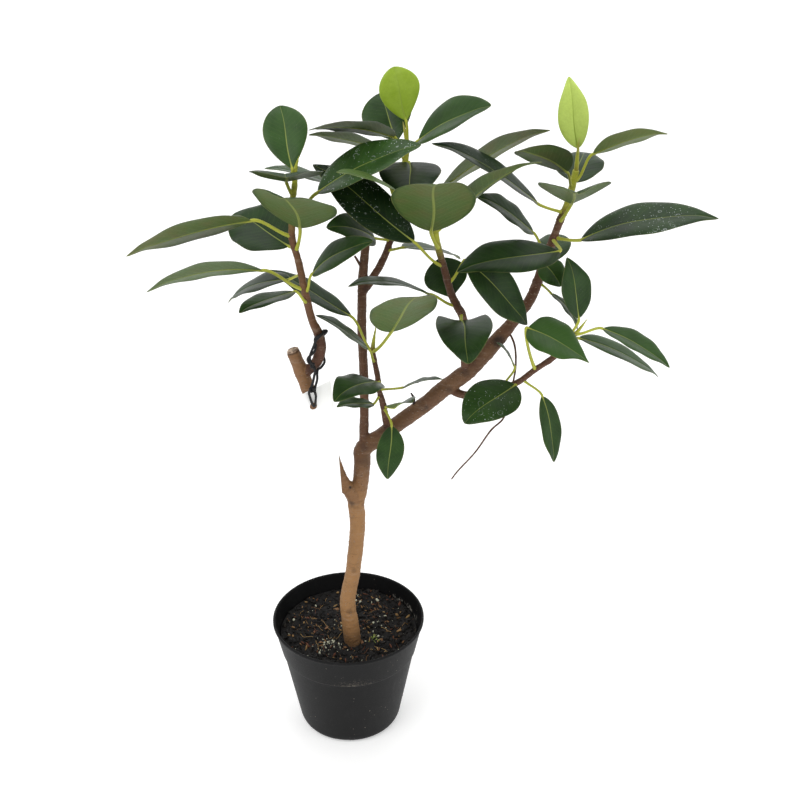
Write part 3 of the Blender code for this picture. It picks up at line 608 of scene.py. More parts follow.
class Shade:
    """One material in the making."""

    def __init__(self, name: str, **constants: float) -> None:
        """Start a material whose surface has the given constants."""
        self.material = bpy.data.materials.new(name)
        self.material.use_nodes = True
        self.tree = self.material.node_tree
        self.surface = self.tree.nodes["Principled BSDF"]
        for key, value in constants.items():
            self.surface.inputs[key.replace("_", " ")].default_value = value
        self.place = self.node("TexCoord", None, None, "Object")

    def node(self, kind: str, settings: dict | None = None, sockets: dict | None = None,
             out: int | str = 0) -> Sock:
        """Add any shader node.

        Args:
            kind: The node's type without its ShaderNode or ShaderNodeTex prefix.
            settings: Properties to set first; "stops" holds a ramp's places and colours.
            sockets: Input names or numbers with a value or another socket for each.
            out: The output to hand back.
        Returns:
            The chosen output.
        """
        made = self.tree.nodes.new("ShaderNode" + kind)
        for key, value in (settings or {}).items():
            if key == "stops":
                ramp = made.color_ramp.elements
                for index, (position, colour) in enumerate(value):
                    stop = ramp[index] if index < len(ramp) else ramp.new(position)
                    stop.position, stop.color = position, (*colour, 1.0)
            else:
                setattr(made, key, value)
        for key, value in (sockets or {}).items():
            self.plug(made.inputs[key], value)
        return Sock(self, made.outputs[out])

    def plug(self, socket: bpy.types.NodeSocket, value: "Sock | float | Colour") -> None:
        """Feed a socket.

        Args:
            socket: The input.
            value: A constant for it, or another socket to link to it.
        """
        if isinstance(value, Sock):
            self.tree.links.new(value.out, socket)
        elif isinstance(value, tuple) and socket.type == "RGBA":
            socket.default_value = (*value, 1.0)
        else:
            socket.default_value = value

    def mark(self, name: str) -> Sock:
        """A named mark of the mesh."""
        return self.node("Attribute", {"attribute_name": name}, None, "Fac")

    def scaled(self, factors: Triple) -> Sock:
        """Object coordinates stretched along the axes."""
        return self.node("VectorMath", {"operation": "MULTIPLY"}, {0: self.place, 1: factors})

    def grain(self, size: float, detail: float = 3.0, place: Sock | None = None,
              rough: float = 0.55) -> Sock:
        """Noise whose features are about one size in millimetres."""
        return self.node("TexNoise", None, {"Vector": place or self.place, "Scale": 1000.0 / size,
                                            "Detail": detail, "Roughness": rough})

    def cells(self, size: float, out: str = "Distance", place: Sock | None = None) -> Sock:
        """Distance from, or colour of, scattered cells of one size in millimetres."""
        return self.node("TexVoronoi", None,
                         {"Vector": place or self.place, "Scale": 1000.0 / size}, out)

    def mix(self, first: "Sock | Colour", second: "Sock | Colour",
            factor: "Sock | float") -> Sock:
        """A colour between two others."""
        return self.node("Mix", {"data_type": "RGBA"}, {0: factor, 6: first, 7: second}, 2)

    def bump(self, height: Sock, distance: float, strength: float = 1.0) -> Sock:
        """A bumped normal; the distance is in millimetres."""
        return self.node("Bump", None, {"Height": height, "Distance": distance * MM,
                                        "Strength": strength})

    def dress(self, colour: Sock, roughness: "Sock | float", normal: Sock) -> bpy.types.Material:
        """Link the surface.

        Args:
            colour, roughness, normal: What varies over the surface.
        Returns:
            The finished material.
        """
        self.plug(self.surface.inputs["Base Color"], colour)
        self.plug(self.surface.inputs["Roughness"], roughness)
        self.plug(self.surface.inputs["Normal"], normal)
        return self.material


@dataclass(frozen=True)
class LeafFinish:
    """Waxy leaf: colours of its top, its underside, its ribs and its stalk."""

    name: str
    deep: Colour = srgb(18, 38, 15)
    fresh: Colour = srgb(54, 86, 34)
    under: Colour = srgb(84, 102, 52)
    under_warm: Colour = srgb(104, 96, 58)
    rib: Colour = srgb(158, 168, 88)
    rim: Colour = srgb(146, 146, 88)
    stalk: Colour = srgb(184, 186, 66)
    pale: Colour = srgb(190, 212, 104)
    pale_deep: Colour = srgb(132, 160, 30)
    water: Colour = srgb(214, 222, 220)

    def material(self) -> bpy.types.Material:
        """Build the leaf material.

        Returns:
            A material that reads the marks of a leaf mesh.
        """
        shade = Shade(self.name, IOR=1.42, Specular_IOR_Level=0.28)
        along, across, mid, edge = (shade.mark(m) for m in ("along", "across", "mid", "edge"))
        under, stalk, tone = (shade.mark(m) for m in ("under", "stalk", "tone"))
        broad, fine = shade.grain(14.0, 2.0), shade.grain(1.4, 4.0)
        top = shade.mix(self.deep, self.fresh,
                        (0.36 + tone * 0.5 + (broad - 0.5) * 0.9 + (fine - 0.5) * 0.25).clamp())
        back = shade.mix(self.under, self.under_warm,
                         ((broad - 0.42) * 2.0 + along * 0.45 - 0.2).clamp())
        back = shade.mix(back, self.fresh, (0.3 - tone * 0.4 + (fine - 0.5) * 0.5).clamp())
        lanes = (along * 15.0 - across * 3.2 + broad * 0.4).fraction()
        vein = abs(lanes - 0.5).step(0.40, 0.5) * mid.step(0.5, 2.0)
        blade = shade.mix(top, back, under)
        young = shade.mix(self.pale_deep, self.pale,
                          (tone * 0.6 + 0.5 + (broad - 0.5) * 0.5).clamp())
        blade = shade.mix(blade, young, (shade.mark("pale") * (0.8 + fine * 0.3)).clamp())
        blade = shade.mix(blade, self.rib, vein * (0.035 + 0.07 * under))
        width = 0.45 - along * 0.28 + under * 0.5
        line = (mid / width).step(1.35, 0.55)
        fade = (0.75 + 0.1 * under) * (1.0 - along * 0.65)
        blade = shade.mix(blade, self.rib, (line * fade).clamp())
        rim = edge.step(0.75, 0.1) * (0.30 + 0.25 * under + (broad - 0.5) * 0.8)
        blade = shade.mix(blade, self.rim, rim.clamp())
        wet = (shade.mark("wet") * shade.grain(24.0, 2.0)).step(0.26, 0.6) * (1.0 - under)
        size = shade.node("SeparateXYZ", None, {0: shade.cells(1.5, "Color")})
        spot = (shade.cells(1.5) / (0.08 + size * 0.16)).step(1.1, 0.7) * size.step(0.5, 0.7) * wet
        pick = shade.node("SeparateXYZ", None, {0: shade.cells(6.5, "Color")})
        circle = abs(shade.cells(6.5) - (0.16 + pick * 0.14)).step(0.045, 0.01) * pick.step(0.5, 0.6)
        spot = (spot * 0.9).most(circle * wet * shade.grain(2.0).step(0.42, 0.6) * 0.55)
        blade = shade.mix(blade, self.water, spot * 0.75)
        dust = (shade.grain(0.5, 2.0).step(0.66, 0.78) * (1.0 - under)) * 0.22
        blade = shade.mix(blade, self.water, dust * shade.grain(9.0).step(0.45, 0.7))
        stem = shade.mix(self.stalk, shade.mix(self.rib, self.under, 0.5),
                         (fine * 0.7 - 0.15 + under * 0.75).clamp())
        colour = shade.mix(blade, stem, stalk)
        rough = (0.40 + (fine - 0.5) * 0.2 + (broad - 0.5) * 0.12 + under * 0.14 - spot * 0.12
                 + stalk * 0.06)
        height = (fine * 0.25 - vein * (0.16 - 0.5 * under) + shade.grain(0.35, 2.0) * 0.12
                  + spot * 0.5)
        return shade.dress(colour, rough.clamp(), shade.bump(height, 0.12, 0.7))


@dataclass(frozen=True)
class BarkFinish:
    """Bark from tan trunk to red-brown limbs and green shoots."""

    name: str
    tan: Colour = srgb(152, 112, 70)
    brown: Colour = srgb(90, 61, 43)
    red: Colour = srgb(86, 48, 33)
    dark: Colour = srgb(34, 25, 22)
    grey: Colour = srgb(158, 138, 118)
    shoot: Colour = srgb(178, 182, 62)
    wood: Colour = srgb(224, 196, 172)

    def material(self) -> bpy.types.Material:
        """Build the bark material.

        Returns:
            A material that reads the marks of the wood mesh.
        """
        shade = Shade(self.name, IOR=1.4)
        tan, green, cut, dark = (shade.mark(m) for m in ("tan", "green", "cut", "dark"))
        level = shade.scaled((1.0, 1.0, 2.6))
        broad, fine = shade.grain(13.0, 3.0), shade.grain(1.1, 5.0)
        bands = shade.grain(5.0, 3.0, shade.scaled((0.35, 0.35, 2.2)))
        bark = shade.mix(self.brown, self.tan, (tan + (broad - 0.5) * 0.7).clamp())
        bark = shade.mix(bark, self.red, (shade.mark("red") * (0.55 + (broad - 0.5) * 1.6)).clamp())
        bark = shade.mix(bark, self.grey, (bands.step(0.5, 0.72) * 0.3 + (fine - 0.55)).clamp())
        bark = shade.mix(bark, self.dark,
                         (bands.step(0.47, 0.3) * 0.25 + (fine - 0.6) * 0.8).clamp())
        pores = shade.cells(3.4, place=level)
        pick = shade.node("SeparateXYZ", None, {0: shade.cells(3.4, "Color", level)})
        pore = pores.step(0.30, 0.12) * pick.step(0.5, 0.7)
        bark = shade.mix(bark, self.grey, pore * 0.6)
        fleck = shade.cells(2.3).step(0.16, 0.08) * broad.step(0.45, 0.6)
        bark = shade.mix(bark, self.dark, fleck * 0.6)
        shoot = shade.mix(self.shoot, self.brown, (fine - 0.4).clamp() * 0.5 + (broad * 0.08))
        bark = shade.mix(bark, shoot, (green + (fine - 0.5) * 0.2 * green).clamp())
        bark = shade.mix(bark, self.dark, (dark * (0.55 + fine * 0.9)).clamp())
        patchy = shade.grain(2.6, 3.0).step(0.46, 0.6) * 0.75
        end = shade.mix(self.wood, self.brown, patchy)
        end = shade.mix(end, self.dark, fine.step(0.56, 0.7) * 0.6)
        bark = shade.mix(bark, end, (cut * (0.75 + fine * 0.4)).clamp())
        rough = 0.62 + (fine - 0.5) * 0.3 - green * 0.15
        height = bands * 0.5 + fine * 0.8 + pore * 0.6 - fleck * 0.4
        return shade.dress(bark, rough.clamp(), shade.bump(height, 0.6, 1.0))


@dataclass(frozen=True)
class PotFinish:
    """Matt black moulded plastic with dust, scuffs and chalk inside."""

    name: str
    black: Colour = srgb(9, 9, 10)
    worn: Colour = srgb(26, 26, 27)
    dust: Colour = srgb(150, 140, 126)
    chalk: Colour = srgb(214, 208, 196)

    def material(self) -> bpy.types.Material:
        """Build the pot material.

        Returns:
            A material that reads the chalk and band marks.
        """
        shade = Shade(self.name, IOR=1.42, Specular_IOR_Level=0.24)
        chalk, band = shade.mark("chalk"), shade.mark("band")
        broad, fine = shade.grain(22.0, 3.0), shade.grain(0.9, 4.0)
        runs = shade.grain(7.0, 4.0, shade.scaled((1.0, 1.0, 0.18)))
        base = shade.mix(self.black, self.worn,
                         (broad.step(0.4, 0.8) * 0.35 + (fine - 0.55) * 0.5
                          + runs.step(0.55, 0.8) * 0.25).clamp())
        scuff = (shade.grain(1.5, 6.0, rough=0.7) + band * 0.12).step(0.56, 0.86)
        base = shade.mix(base, self.dust, scuff * (0.06 + band * 0.36))
        speck = shade.cells(3.6).step(0.13, 0.06) * shade.grain(17.0).step(0.52, 0.66)
        base = shade.mix(base, self.dust, speck * 0.7)
        crust = (chalk * (0.25 + shade.grain(3.4, 6.0, rough=0.75) * 1.2)).step(0.8, 1.0)
        base = shade.mix(base, self.chalk, crust * 0.6)
        rough = 0.5 + (fine - 0.5) * 0.25 + broad * 0.1 + crust * 0.3 - runs.step(0.6, 0.8) * 0.08
        height = fine * 0.4 + crust * 2.0 - scuff * 0.5
        return shade.dress(base, rough.clamp(), shade.bump(height, 0.14, 0.6))


@dataclass(frozen=True)
class SoilFinish:
    """Damp peat, and the bits that lie on it, told apart by a kind mark."""

    name: str
    wet: Colour = srgb(5, 4, 4)
    dry: Colour = srgb(31, 25, 19)
    chip: Colour = srgb(166, 136, 86)
    red: Colour = srgb(92, 54, 36)
    white: Colour = srgb(196, 196, 172)
    moss: Colour = srgb(132, 146, 76)

    def material(self) -> bpy.types.Material:
        """Build the soil material.

        Returns:
            A material that reads the kind mark: 0 peat, 1 chip, 2 perlite, 3 moss.
        """
        shade = Shade(self.name, IOR=1.4)
        kind, tint = shade.mark("kind"), shade.mark("tint")
        broad, fine = shade.grain(6.0, 4.0), shade.grain(0.8, 5.0)
        peat = shade.mix(self.wet, self.dry,
                         ((broad - 0.4) * 0.9 + (fine - 0.5) * 1.2 + tint * 0.5).clamp())
        sand = shade.cells(2.0).step(0.14, 0.07) * broad.step(0.5, 0.62)
        peat = shade.mix(peat, self.chip, sand * 0.5)
        chips = shade.mix(self.red, self.chip, (tint + (fine - 0.5) * 0.9).clamp())
        white = shade.mix(self.white, self.dry, (fine.step(0.5, 0.8) * 0.45 + tint * 0.2).clamp())
        moss = shade.mix(self.moss, self.wet, (fine - 0.35).clamp() * 0.9)
        colour = shade.mix(peat, chips, kind.step(0.4, 0.6))
        colour = shade.mix(colour, white, kind.step(1.4, 1.6))
        colour = shade.mix(colour, moss, kind.step(2.4, 2.6))
        rough = 0.74 + (fine - 0.5) * 0.3
        return shade.dress(colour, rough.clamp(),
                           shade.bump(fine + broad * 0.6, 0.6, 0.9))


@dataclass(frozen=True)
class PaperFinish:
    """Uncoated white card that glows faintly: painted light that makes it read whiter."""

    name: str
    white: Colour = srgb(250, 250, 249)
    shadow: Colour = srgb(238, 237, 233)
    fibre: Colour = srgb(186, 180, 168)

    def material(self) -> bpy.types.Material:
        """Build the card material.

        Returns:
            A near-white material with faint fibres and soiling, glowing faintly as painted light.
        """
        # The faint emission makes the card glow though it is no lamp: painted light that keeps it
        # whiter than its lighting would.
        shade = Shade(self.name, IOR=1.45, Emission_Strength=0.16)
        broad, fine = shade.grain(26.0, 3.0), shade.grain(0.7, 4.0)
        long = shade.grain(1.6, 2.0, shade.scaled((1.0, 1.0, 0.16)))
        card = shade.mix(self.white, self.shadow,
                         ((broad - 0.45) * 0.8 + (fine - 0.5) * 0.5).clamp())
        card = shade.mix(card, self.fibre, long.step(0.66, 0.76) * 0.25)
        speck = shade.cells(4.2).step(0.07, 0.03) * broad.step(0.5, 0.6)
        card = shade.mix(card, self.fibre, speck * 0.7)
        return shade.dress(card, (0.52 + (fine - 0.5) * 0.2).clamp(),
                           shade.bump(fine + long, 0.05, 0.5))


@dataclass(frozen=True)
class ElasticFinish:
    """Black braided elastic."""

    name: str
    black: Colour = srgb(11, 11, 13)
    worn: Colour = srgb(34, 34, 38)

    def material(self) -> bpy.types.Material:
        """Build the elastic material.

        Returns:
            A dark material with a fine weave.
        """
        shade = Shade(self.name, IOR=1.45)
        weave = shade.cells(0.42)
        fine = shade.grain(0.6, 3.0)
        colour = shade.mix(self.black, self.worn,
                           (weave.step(0.6, 0.1) * 0.4 + (fine - 0.5)).clamp())
        return shade.dress(colour, (0.62 + (fine - 0.5) * 0.2).clamp(),
                           shade.bump(1.0 - weave, 0.12, 0.8))


@dataclass(frozen=True)
class FloorFinish:
    """Plain white studio sweep."""

    name: str
    white: Colour = (0.86, 0.86, 0.86)
    warm: Colour = (0.84, 0.84, 0.835)

    def material(self) -> bpy.types.Material:
        """Build the floor material.

        Returns:
            A matt white material.
        """
        shade = Shade(self.name, IOR=1.3, Emission_Strength=0.34)
        cloud = shade.grain(300.0, 2.0)
        return shade.dress(shade.mix(self.white, self.warm, cloud), 0.8 + cloud * 0.1,
                           shade.bump(shade.grain(4.0), 0.02, 0.2))


@dataclass
class Assembly(ABC):
    """A part of the plant that is built, dressed and put on the frame."""

    made: list[bpy.types.Object] = field(default_factory=list, init=False)

    @abstractmethod
    def build(self) -> None:
        """Make the pieces."""

    def mount(self, piece: bpy.types.Object, slot: Slot, node: str = "") -> bpy.types.Object:
        """Put a piece on the frame.

        Args:
            piece: The object.
            slot: Not used.
            node: The CAD node it stands for, if it stands for one.
        Returns:
            The same object.
        """
        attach(piece, "root")
        if node:
            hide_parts(node)
        self.made.append(piece)
        LOG.info("%s rides on root%s", piece.name, f" for {node}" if node else "")
        return piece


@dataclass
class Pot(Assembly):
    """The nursery pot: a turned shell with lip, band, foot channels and drain holes."""

    height: float = 96.0
    rim: float = 60.0
    foot: float = 40.0
    wall: float = 1.3
    band_height: float = 27.0
    step: float = 1.3
    lip: float = 2.0
    sides: int = 144
    channels: int = 6
    channel_turn: float = -7.0
    channel_size: Triple = (26.0, 11.0, 5.2)
    channel_place: float = 38.0
    drain_radius: float = 4.0
    drain_place: float = 29.5

    def wall_radius(self, height: float) -> float:
        """Outer radius of the wall, without its band."""
        return self.foot + (self.rim - 2 * self.step - self.foot) / self.height * height

    def profile(self) -> list[tuple[float, float]]:
        """Run down the inside, out to the rim and down the outside, with eased corners.

        Returns:
            Radius and height of each point.
        """
        band, top, floor = self.height - self.band_height, self.height, self.wall + 2.4
        inner, at = self.rim - self.wall - 0.6, self.wall_radius
        corners = (
            (0, floor, 0), (at(floor) - 4.5, floor, 1.5),
            (at(floor + 3) - self.wall, floor + 3, 1.5),
            (at(band) - self.wall, band - 1, 0.8), (at(band) - self.wall + self.step, band + 2, 0.8),
            (inner, top - 0.6, 0.3), (inner + 0.5, top, 0.3), (self.rim - 0.4, top, 0.3),
            (self.rim, top - 0.6, 0.3), (self.rim, top - self.lip, 0.3),
            (self.rim - 1.0, top - self.lip - 0.8, 0.4), (at(band) + self.step, band, 0.35),
            (at(band) + 0.2, band - 1.2, 0.35), (at(5), 5, 2.0), (at(2) - 0.8, 2, 1.2),
            (self.foot - 3.5, 0, 0.8), (0, 0, 0),
        )
        points = [Vector(corner[:2]) for corner in corners]
        line = [points[0]]
        for i in range(1, len(points) - 1):
            here = points[i]
            before, after = points[i - 1] - here, points[i + 1] - here
            reach = min(corners[i][2], before.length * 0.45, after.length * 0.45)
            start, end = here + before.normalized() * reach, here + after.normalized() * reach
            for t in (0.0, 0.25, 0.5, 0.75, 1.0):
                line.append((1 - t) ** 2 * start + 2 * t * (1 - t) * here + t * t * end)
        line.append(points[-1])
        fine = [line[0]]
        for a, b in zip(line, line[1:]):
            cuts = max(1, math.ceil((b - a).length / 2.5))
            fine += [a.lerp(b, (k + 1) / cuts) for k in range(cuts)]
        return [tuple(point) for point in fine]

    def cutters(self) -> list[bpy.types.Object]:
        """Shape the foot channels and the drain holes.

        Returns:
            One cutting tool for the channels and one for the holes.
        """
        channels, holes = Body(), Body()
        for i in range(self.channels):
            turn = 2 * math.pi * (i + 0.5) / self.channels + math.radians(self.channel_turn)
            out = Vector((math.cos(turn), math.sin(turn), 0))
            facing = out.to_track_quat("X", "Z").to_matrix()
            box = bmesh.ops.create_cube(channels.bm, size=1.0)["verts"]
            bmesh.ops.scale(channels.bm, verts=box, vec=self.channel_size)
            bmesh.ops.rotate(channels.bm, verts=box, cent=(0, 0, 0), matrix=facing)
            bmesh.ops.translate(channels.bm, verts=box, vec=out * self.channel_place)
            drill = bmesh.ops.create_cone(holes.bm, cap_ends=True, segments=32,
                                          radius1=self.drain_radius,
                                          radius2=self.drain_radius, depth=12)["verts"]
            bmesh.ops.translate(holes.bm, verts=drill, vec=out * self.drain_place)
        return [channels.finish("cut_channels"), holes.finish("cut_holes")]

    def build(self) -> None:
        """Turn the shell, cut its foot and mark its chalk and its scuffed band."""
        body = Body()
        body.spin(self.profile(), self.sides)
        shell = body.finish("pot_shell")
        tools = self.cutters()
        for tool in tools:
            cut = shell.modifiers.new(tool.name, "BOOLEAN")
            cut.operation, cut.object, cut.solver = "DIFFERENCE", tool, "EXACT"
        mesh = settled(shell, tools)
        mesh.attributes.new("chalk", "FLOAT", "POINT")
        mesh.attributes.new("band", "FLOAT", "POINT")
        co = np.empty(len(mesh.vertices) * 3)
        mesh.vertices.foreach_get("co", co)
        co = co.reshape(-1, 3) / MM
        radius, turn = np.hypot(co[:, 0], co[:, 1]), np.degrees(np.arctan2(co[:, 1], co[:, 0]))
        inside = radius < np.interp(co[:, 2], (0, self.height),
                                    (self.foot, self.rim - 1.5)) - 0.2
        arc = smooth(turn, -6, 8) * (1 - smooth(turn, 48, 64))
        ring = smooth(co[:, 2], 78, 82) * (1 - smooth(co[:, 2], 84, 93))
        faint = 0.38 * ring * smooth(np.abs(turn), 60, 100)
        mesh.attributes["chalk"].data.foreach_set("value", inside * np.maximum(arc * ring, faint))
        front = np.exp(-((turn + 84) / 17) ** 2)
        band = (front * np.exp(-((co[:, 2] - 70) / 5.5) ** 2)
                + 0.3 * np.exp(-((co[:, 2] - 69) / 1.6) ** 2)) * (1 - inside)
        mesh.attributes["band"].data.foreach_set("value", band)
        pot = Body.object_of("nursery_pot_shell", mesh, PotFinish("pot_black").material(), 35)
        self.mount(pot, Slot.POT, "nursery_pot")


@dataclass
class Soil(Assembly):
    """Potting mix: an uneven plug, with crumbs, perlite, bark chips, fibres and moss on it."""

    top: float = 84.0
    crown: float = 1.5
    edge: float = 54.2
    trunk: Triple = (4.0, -20.0, 84.0)
    crumbs: int = 1500
    chips: int = 190
    perlite: int = 150
    heap: int = 75
    moss: int = 46
    fibres: int = 56

    def height(self, x: np.ndarray, y: np.ndarray) -> np.ndarray:
        """Height of the mix at places on its top.

        Args:
            x, y: The places.
        Returns:
            A height for each of them.
        """
        r = np.hypot(x, y) / self.edge
        flat = np.stack((x, y, np.zeros_like(x)), axis=-1)
        near = np.exp(-((x - self.trunk[0]) ** 2 + (y - self.trunk[1]) ** 2) / 160.0)
        lumps = 2.3 * ripple(flat, 11, 3) + 2.0 * ripple(flat, 4.2, 9) + 0.9 * ripple(flat, 1.9, 5)
        return (self.top + self.crown * (1 - 2 * r**2) + lumps * (1 - smooth(r, 0.94, 1.0))
                + 1.6 * near)

    def plug(self, body: Body) -> None:
        """Lay the mix itself: its top, then its side and its underside.

        Args:
            body: Receives the mesh.
        """
        foot, floor = 36.5, 4.2

        def shape(across: np.ndarray, along: np.ndarray) -> np.ndarray:
            """Places on the plug's skin, from the middle of its top round to its underside."""
            turn = 2 * np.pi * across
            radius = np.interp(along, (0, 0.78, 0.9, 0.94, 1.0), (0, self.edge, foot + 2, foot, 0))
            x, y = radius * np.cos(turn), radius * np.sin(turn)
            rest = np.interp(along, (0.78, 0.9, 0.94, 1.0), (self.top - self.crown, floor + 4, floor,
                                                             floor))
            return np.stack((x, y, np.where(along <= 0.78, self.height(x, y), rest)), axis=-1)

        body.patch(170, 100, shape, lambda across, along: {"kind": 0.0, "tint": 0.0})

    def spot(self, rng: random.Random, reach: float = 53.0) -> Vector:
        """Pick a place on the mix, clear of the trunk.

        Args:
            rng: Where the choice comes from.
            reach: The furthest it may be from the middle.
        Returns:
            The place.
        """
        while True:
            x, y = rng.uniform(-reach, reach), rng.uniform(-reach, reach)
            clear = math.hypot(x - self.trunk[0], y - self.trunk[1]) > 7.5
            if math.hypot(x, y) < reach and clear:
                return Vector((x, y, float(self.height(np.array([x]), np.array([y]))[0])))

    def litter(self, rng: random.Random) -> Iterable[tuple[Body, str]]:
        """Scatter crumbs, chips, perlite, fibres and moss, each kind in one body.

        Args:
            rng: Where the scatter comes from.
        Returns:
            Each body with the name of its piece.
        """
        def spun() -> Matrix:
            """A random rotation."""
            return Matrix.Rotation(rng.uniform(0, 6.3), 3, Vector(
                (rng.uniform(-1, 1), rng.uniform(-1, 1), rng.uniform(-1, 1) + 0.01)))

        crumbs = Body(("kind", "tint"))
        for _ in range(self.crumbs):
            size = rng.uniform(0.5, 1.65) ** 1.4
            crumbs.lump(self.spot(rng) + Vector((0, 0, size * 0.3)),
                        (size, size * rng.uniform(0.6, 1), size * rng.uniform(0.4, 0.9)), spun(), 1,
                        0.3, rng, {"kind": 0.0, "tint": rng.uniform(-0.5, 0.8)})
        yield crumbs, "soil_crumbs"
        chips = Body(("kind", "tint"))
        for _ in range(self.chips):
            size = rng.uniform(0.5, 2.8)
            chips.lump(self.spot(rng) + Vector((0, 0, 0.8)),
                       (size, size * rng.uniform(0.25, 0.5), size * rng.uniform(0.2, 0.4)), spun(),
                       1, 0.35, rng, {"kind": 1.0, "tint": rng.uniform(-0.3, 0.8)})
        yield chips, "soil_bark_chips"
        perlite = Body(("kind", "tint"))
        heap = [Vector((rng.gauss(-15, 6.5), rng.gauss(-24, 5.0), 0)) for _ in range(self.heap)]
        for i in range(self.perlite):
            place, size = self.spot(rng, 51.0), rng.uniform(0.28, 0.62) + (i % 5 == 4) * 0.6
            if i < len(heap):
                x, y = heap[i].x, heap[i].y
                place = Vector((x, y, float(self.height(np.array([x]), np.array([y]))[0])))
                size *= 0.75
            perlite.lump(place + Vector((0, 0, size * 0.45)), (size, size, size * 0.85), spun(), 2,
                         0.12, rng, {"kind": 2.0, "tint": rng.uniform(-0.3, 0.9)})
        yield perlite, "soil_perlite"
        moss = Body(("kind", "tint"))
        for _ in range(self.moss):
            place = Vector((rng.gauss(20.6, 2.4), rng.gauss(-16.5, 2.0), rng.uniform(85.2, 87.4)))
            size = rng.uniform(0.5, 1.1)
            moss.lump(place, (size, size * 0.6, size * 1.2), spun(), 1, 0.3, rng,
                      {"kind": 3.0, "tint": 0.0})
        yield moss, "soil_moss"
        fibres = Body(("kind", "tint"))
        for _ in range(self.fibres):
            start, heading = self.spot(rng, 46.0), rng.uniform(0, 6.3)
            steps, points = rng.randint(6, 14), []
            for k in range(steps):
                heading += rng.uniform(-0.35, 0.35)
                start = start + Vector((math.cos(heading), math.sin(heading), 0)) * 1.2
                level = float(self.height(np.array([start.x]), np.array([start.y]))[0])
                points.append(Vector((start.x, start.y, level + 0.5 + 0.5 * math.sin(k * 0.9))))
            if max(point.xy.length for point in points) < 52:
                fibres.tube(points, [0.19] * steps, 5,
                            lambda across, along, tint=rng.uniform(-0.4, 0.9): {
                                "kind": 1.0, "tint": tint})
        yield fibres, "soil_fibres"

    def build(self) -> None:
        """Make the plug, then the litter on it."""
        material = SoilFinish("peat_mix").material()
        plug = Body(("kind", "tint"))
        self.plug(plug)
        self.mount(plug.finish("soil_plug", material, 80), Slot.SOIL, "potting_soil")
        for body, name in self.litter(random.Random(11)):
            self.mount(body.finish(name, material, 60), Slot.SOIL, "potting_soil")


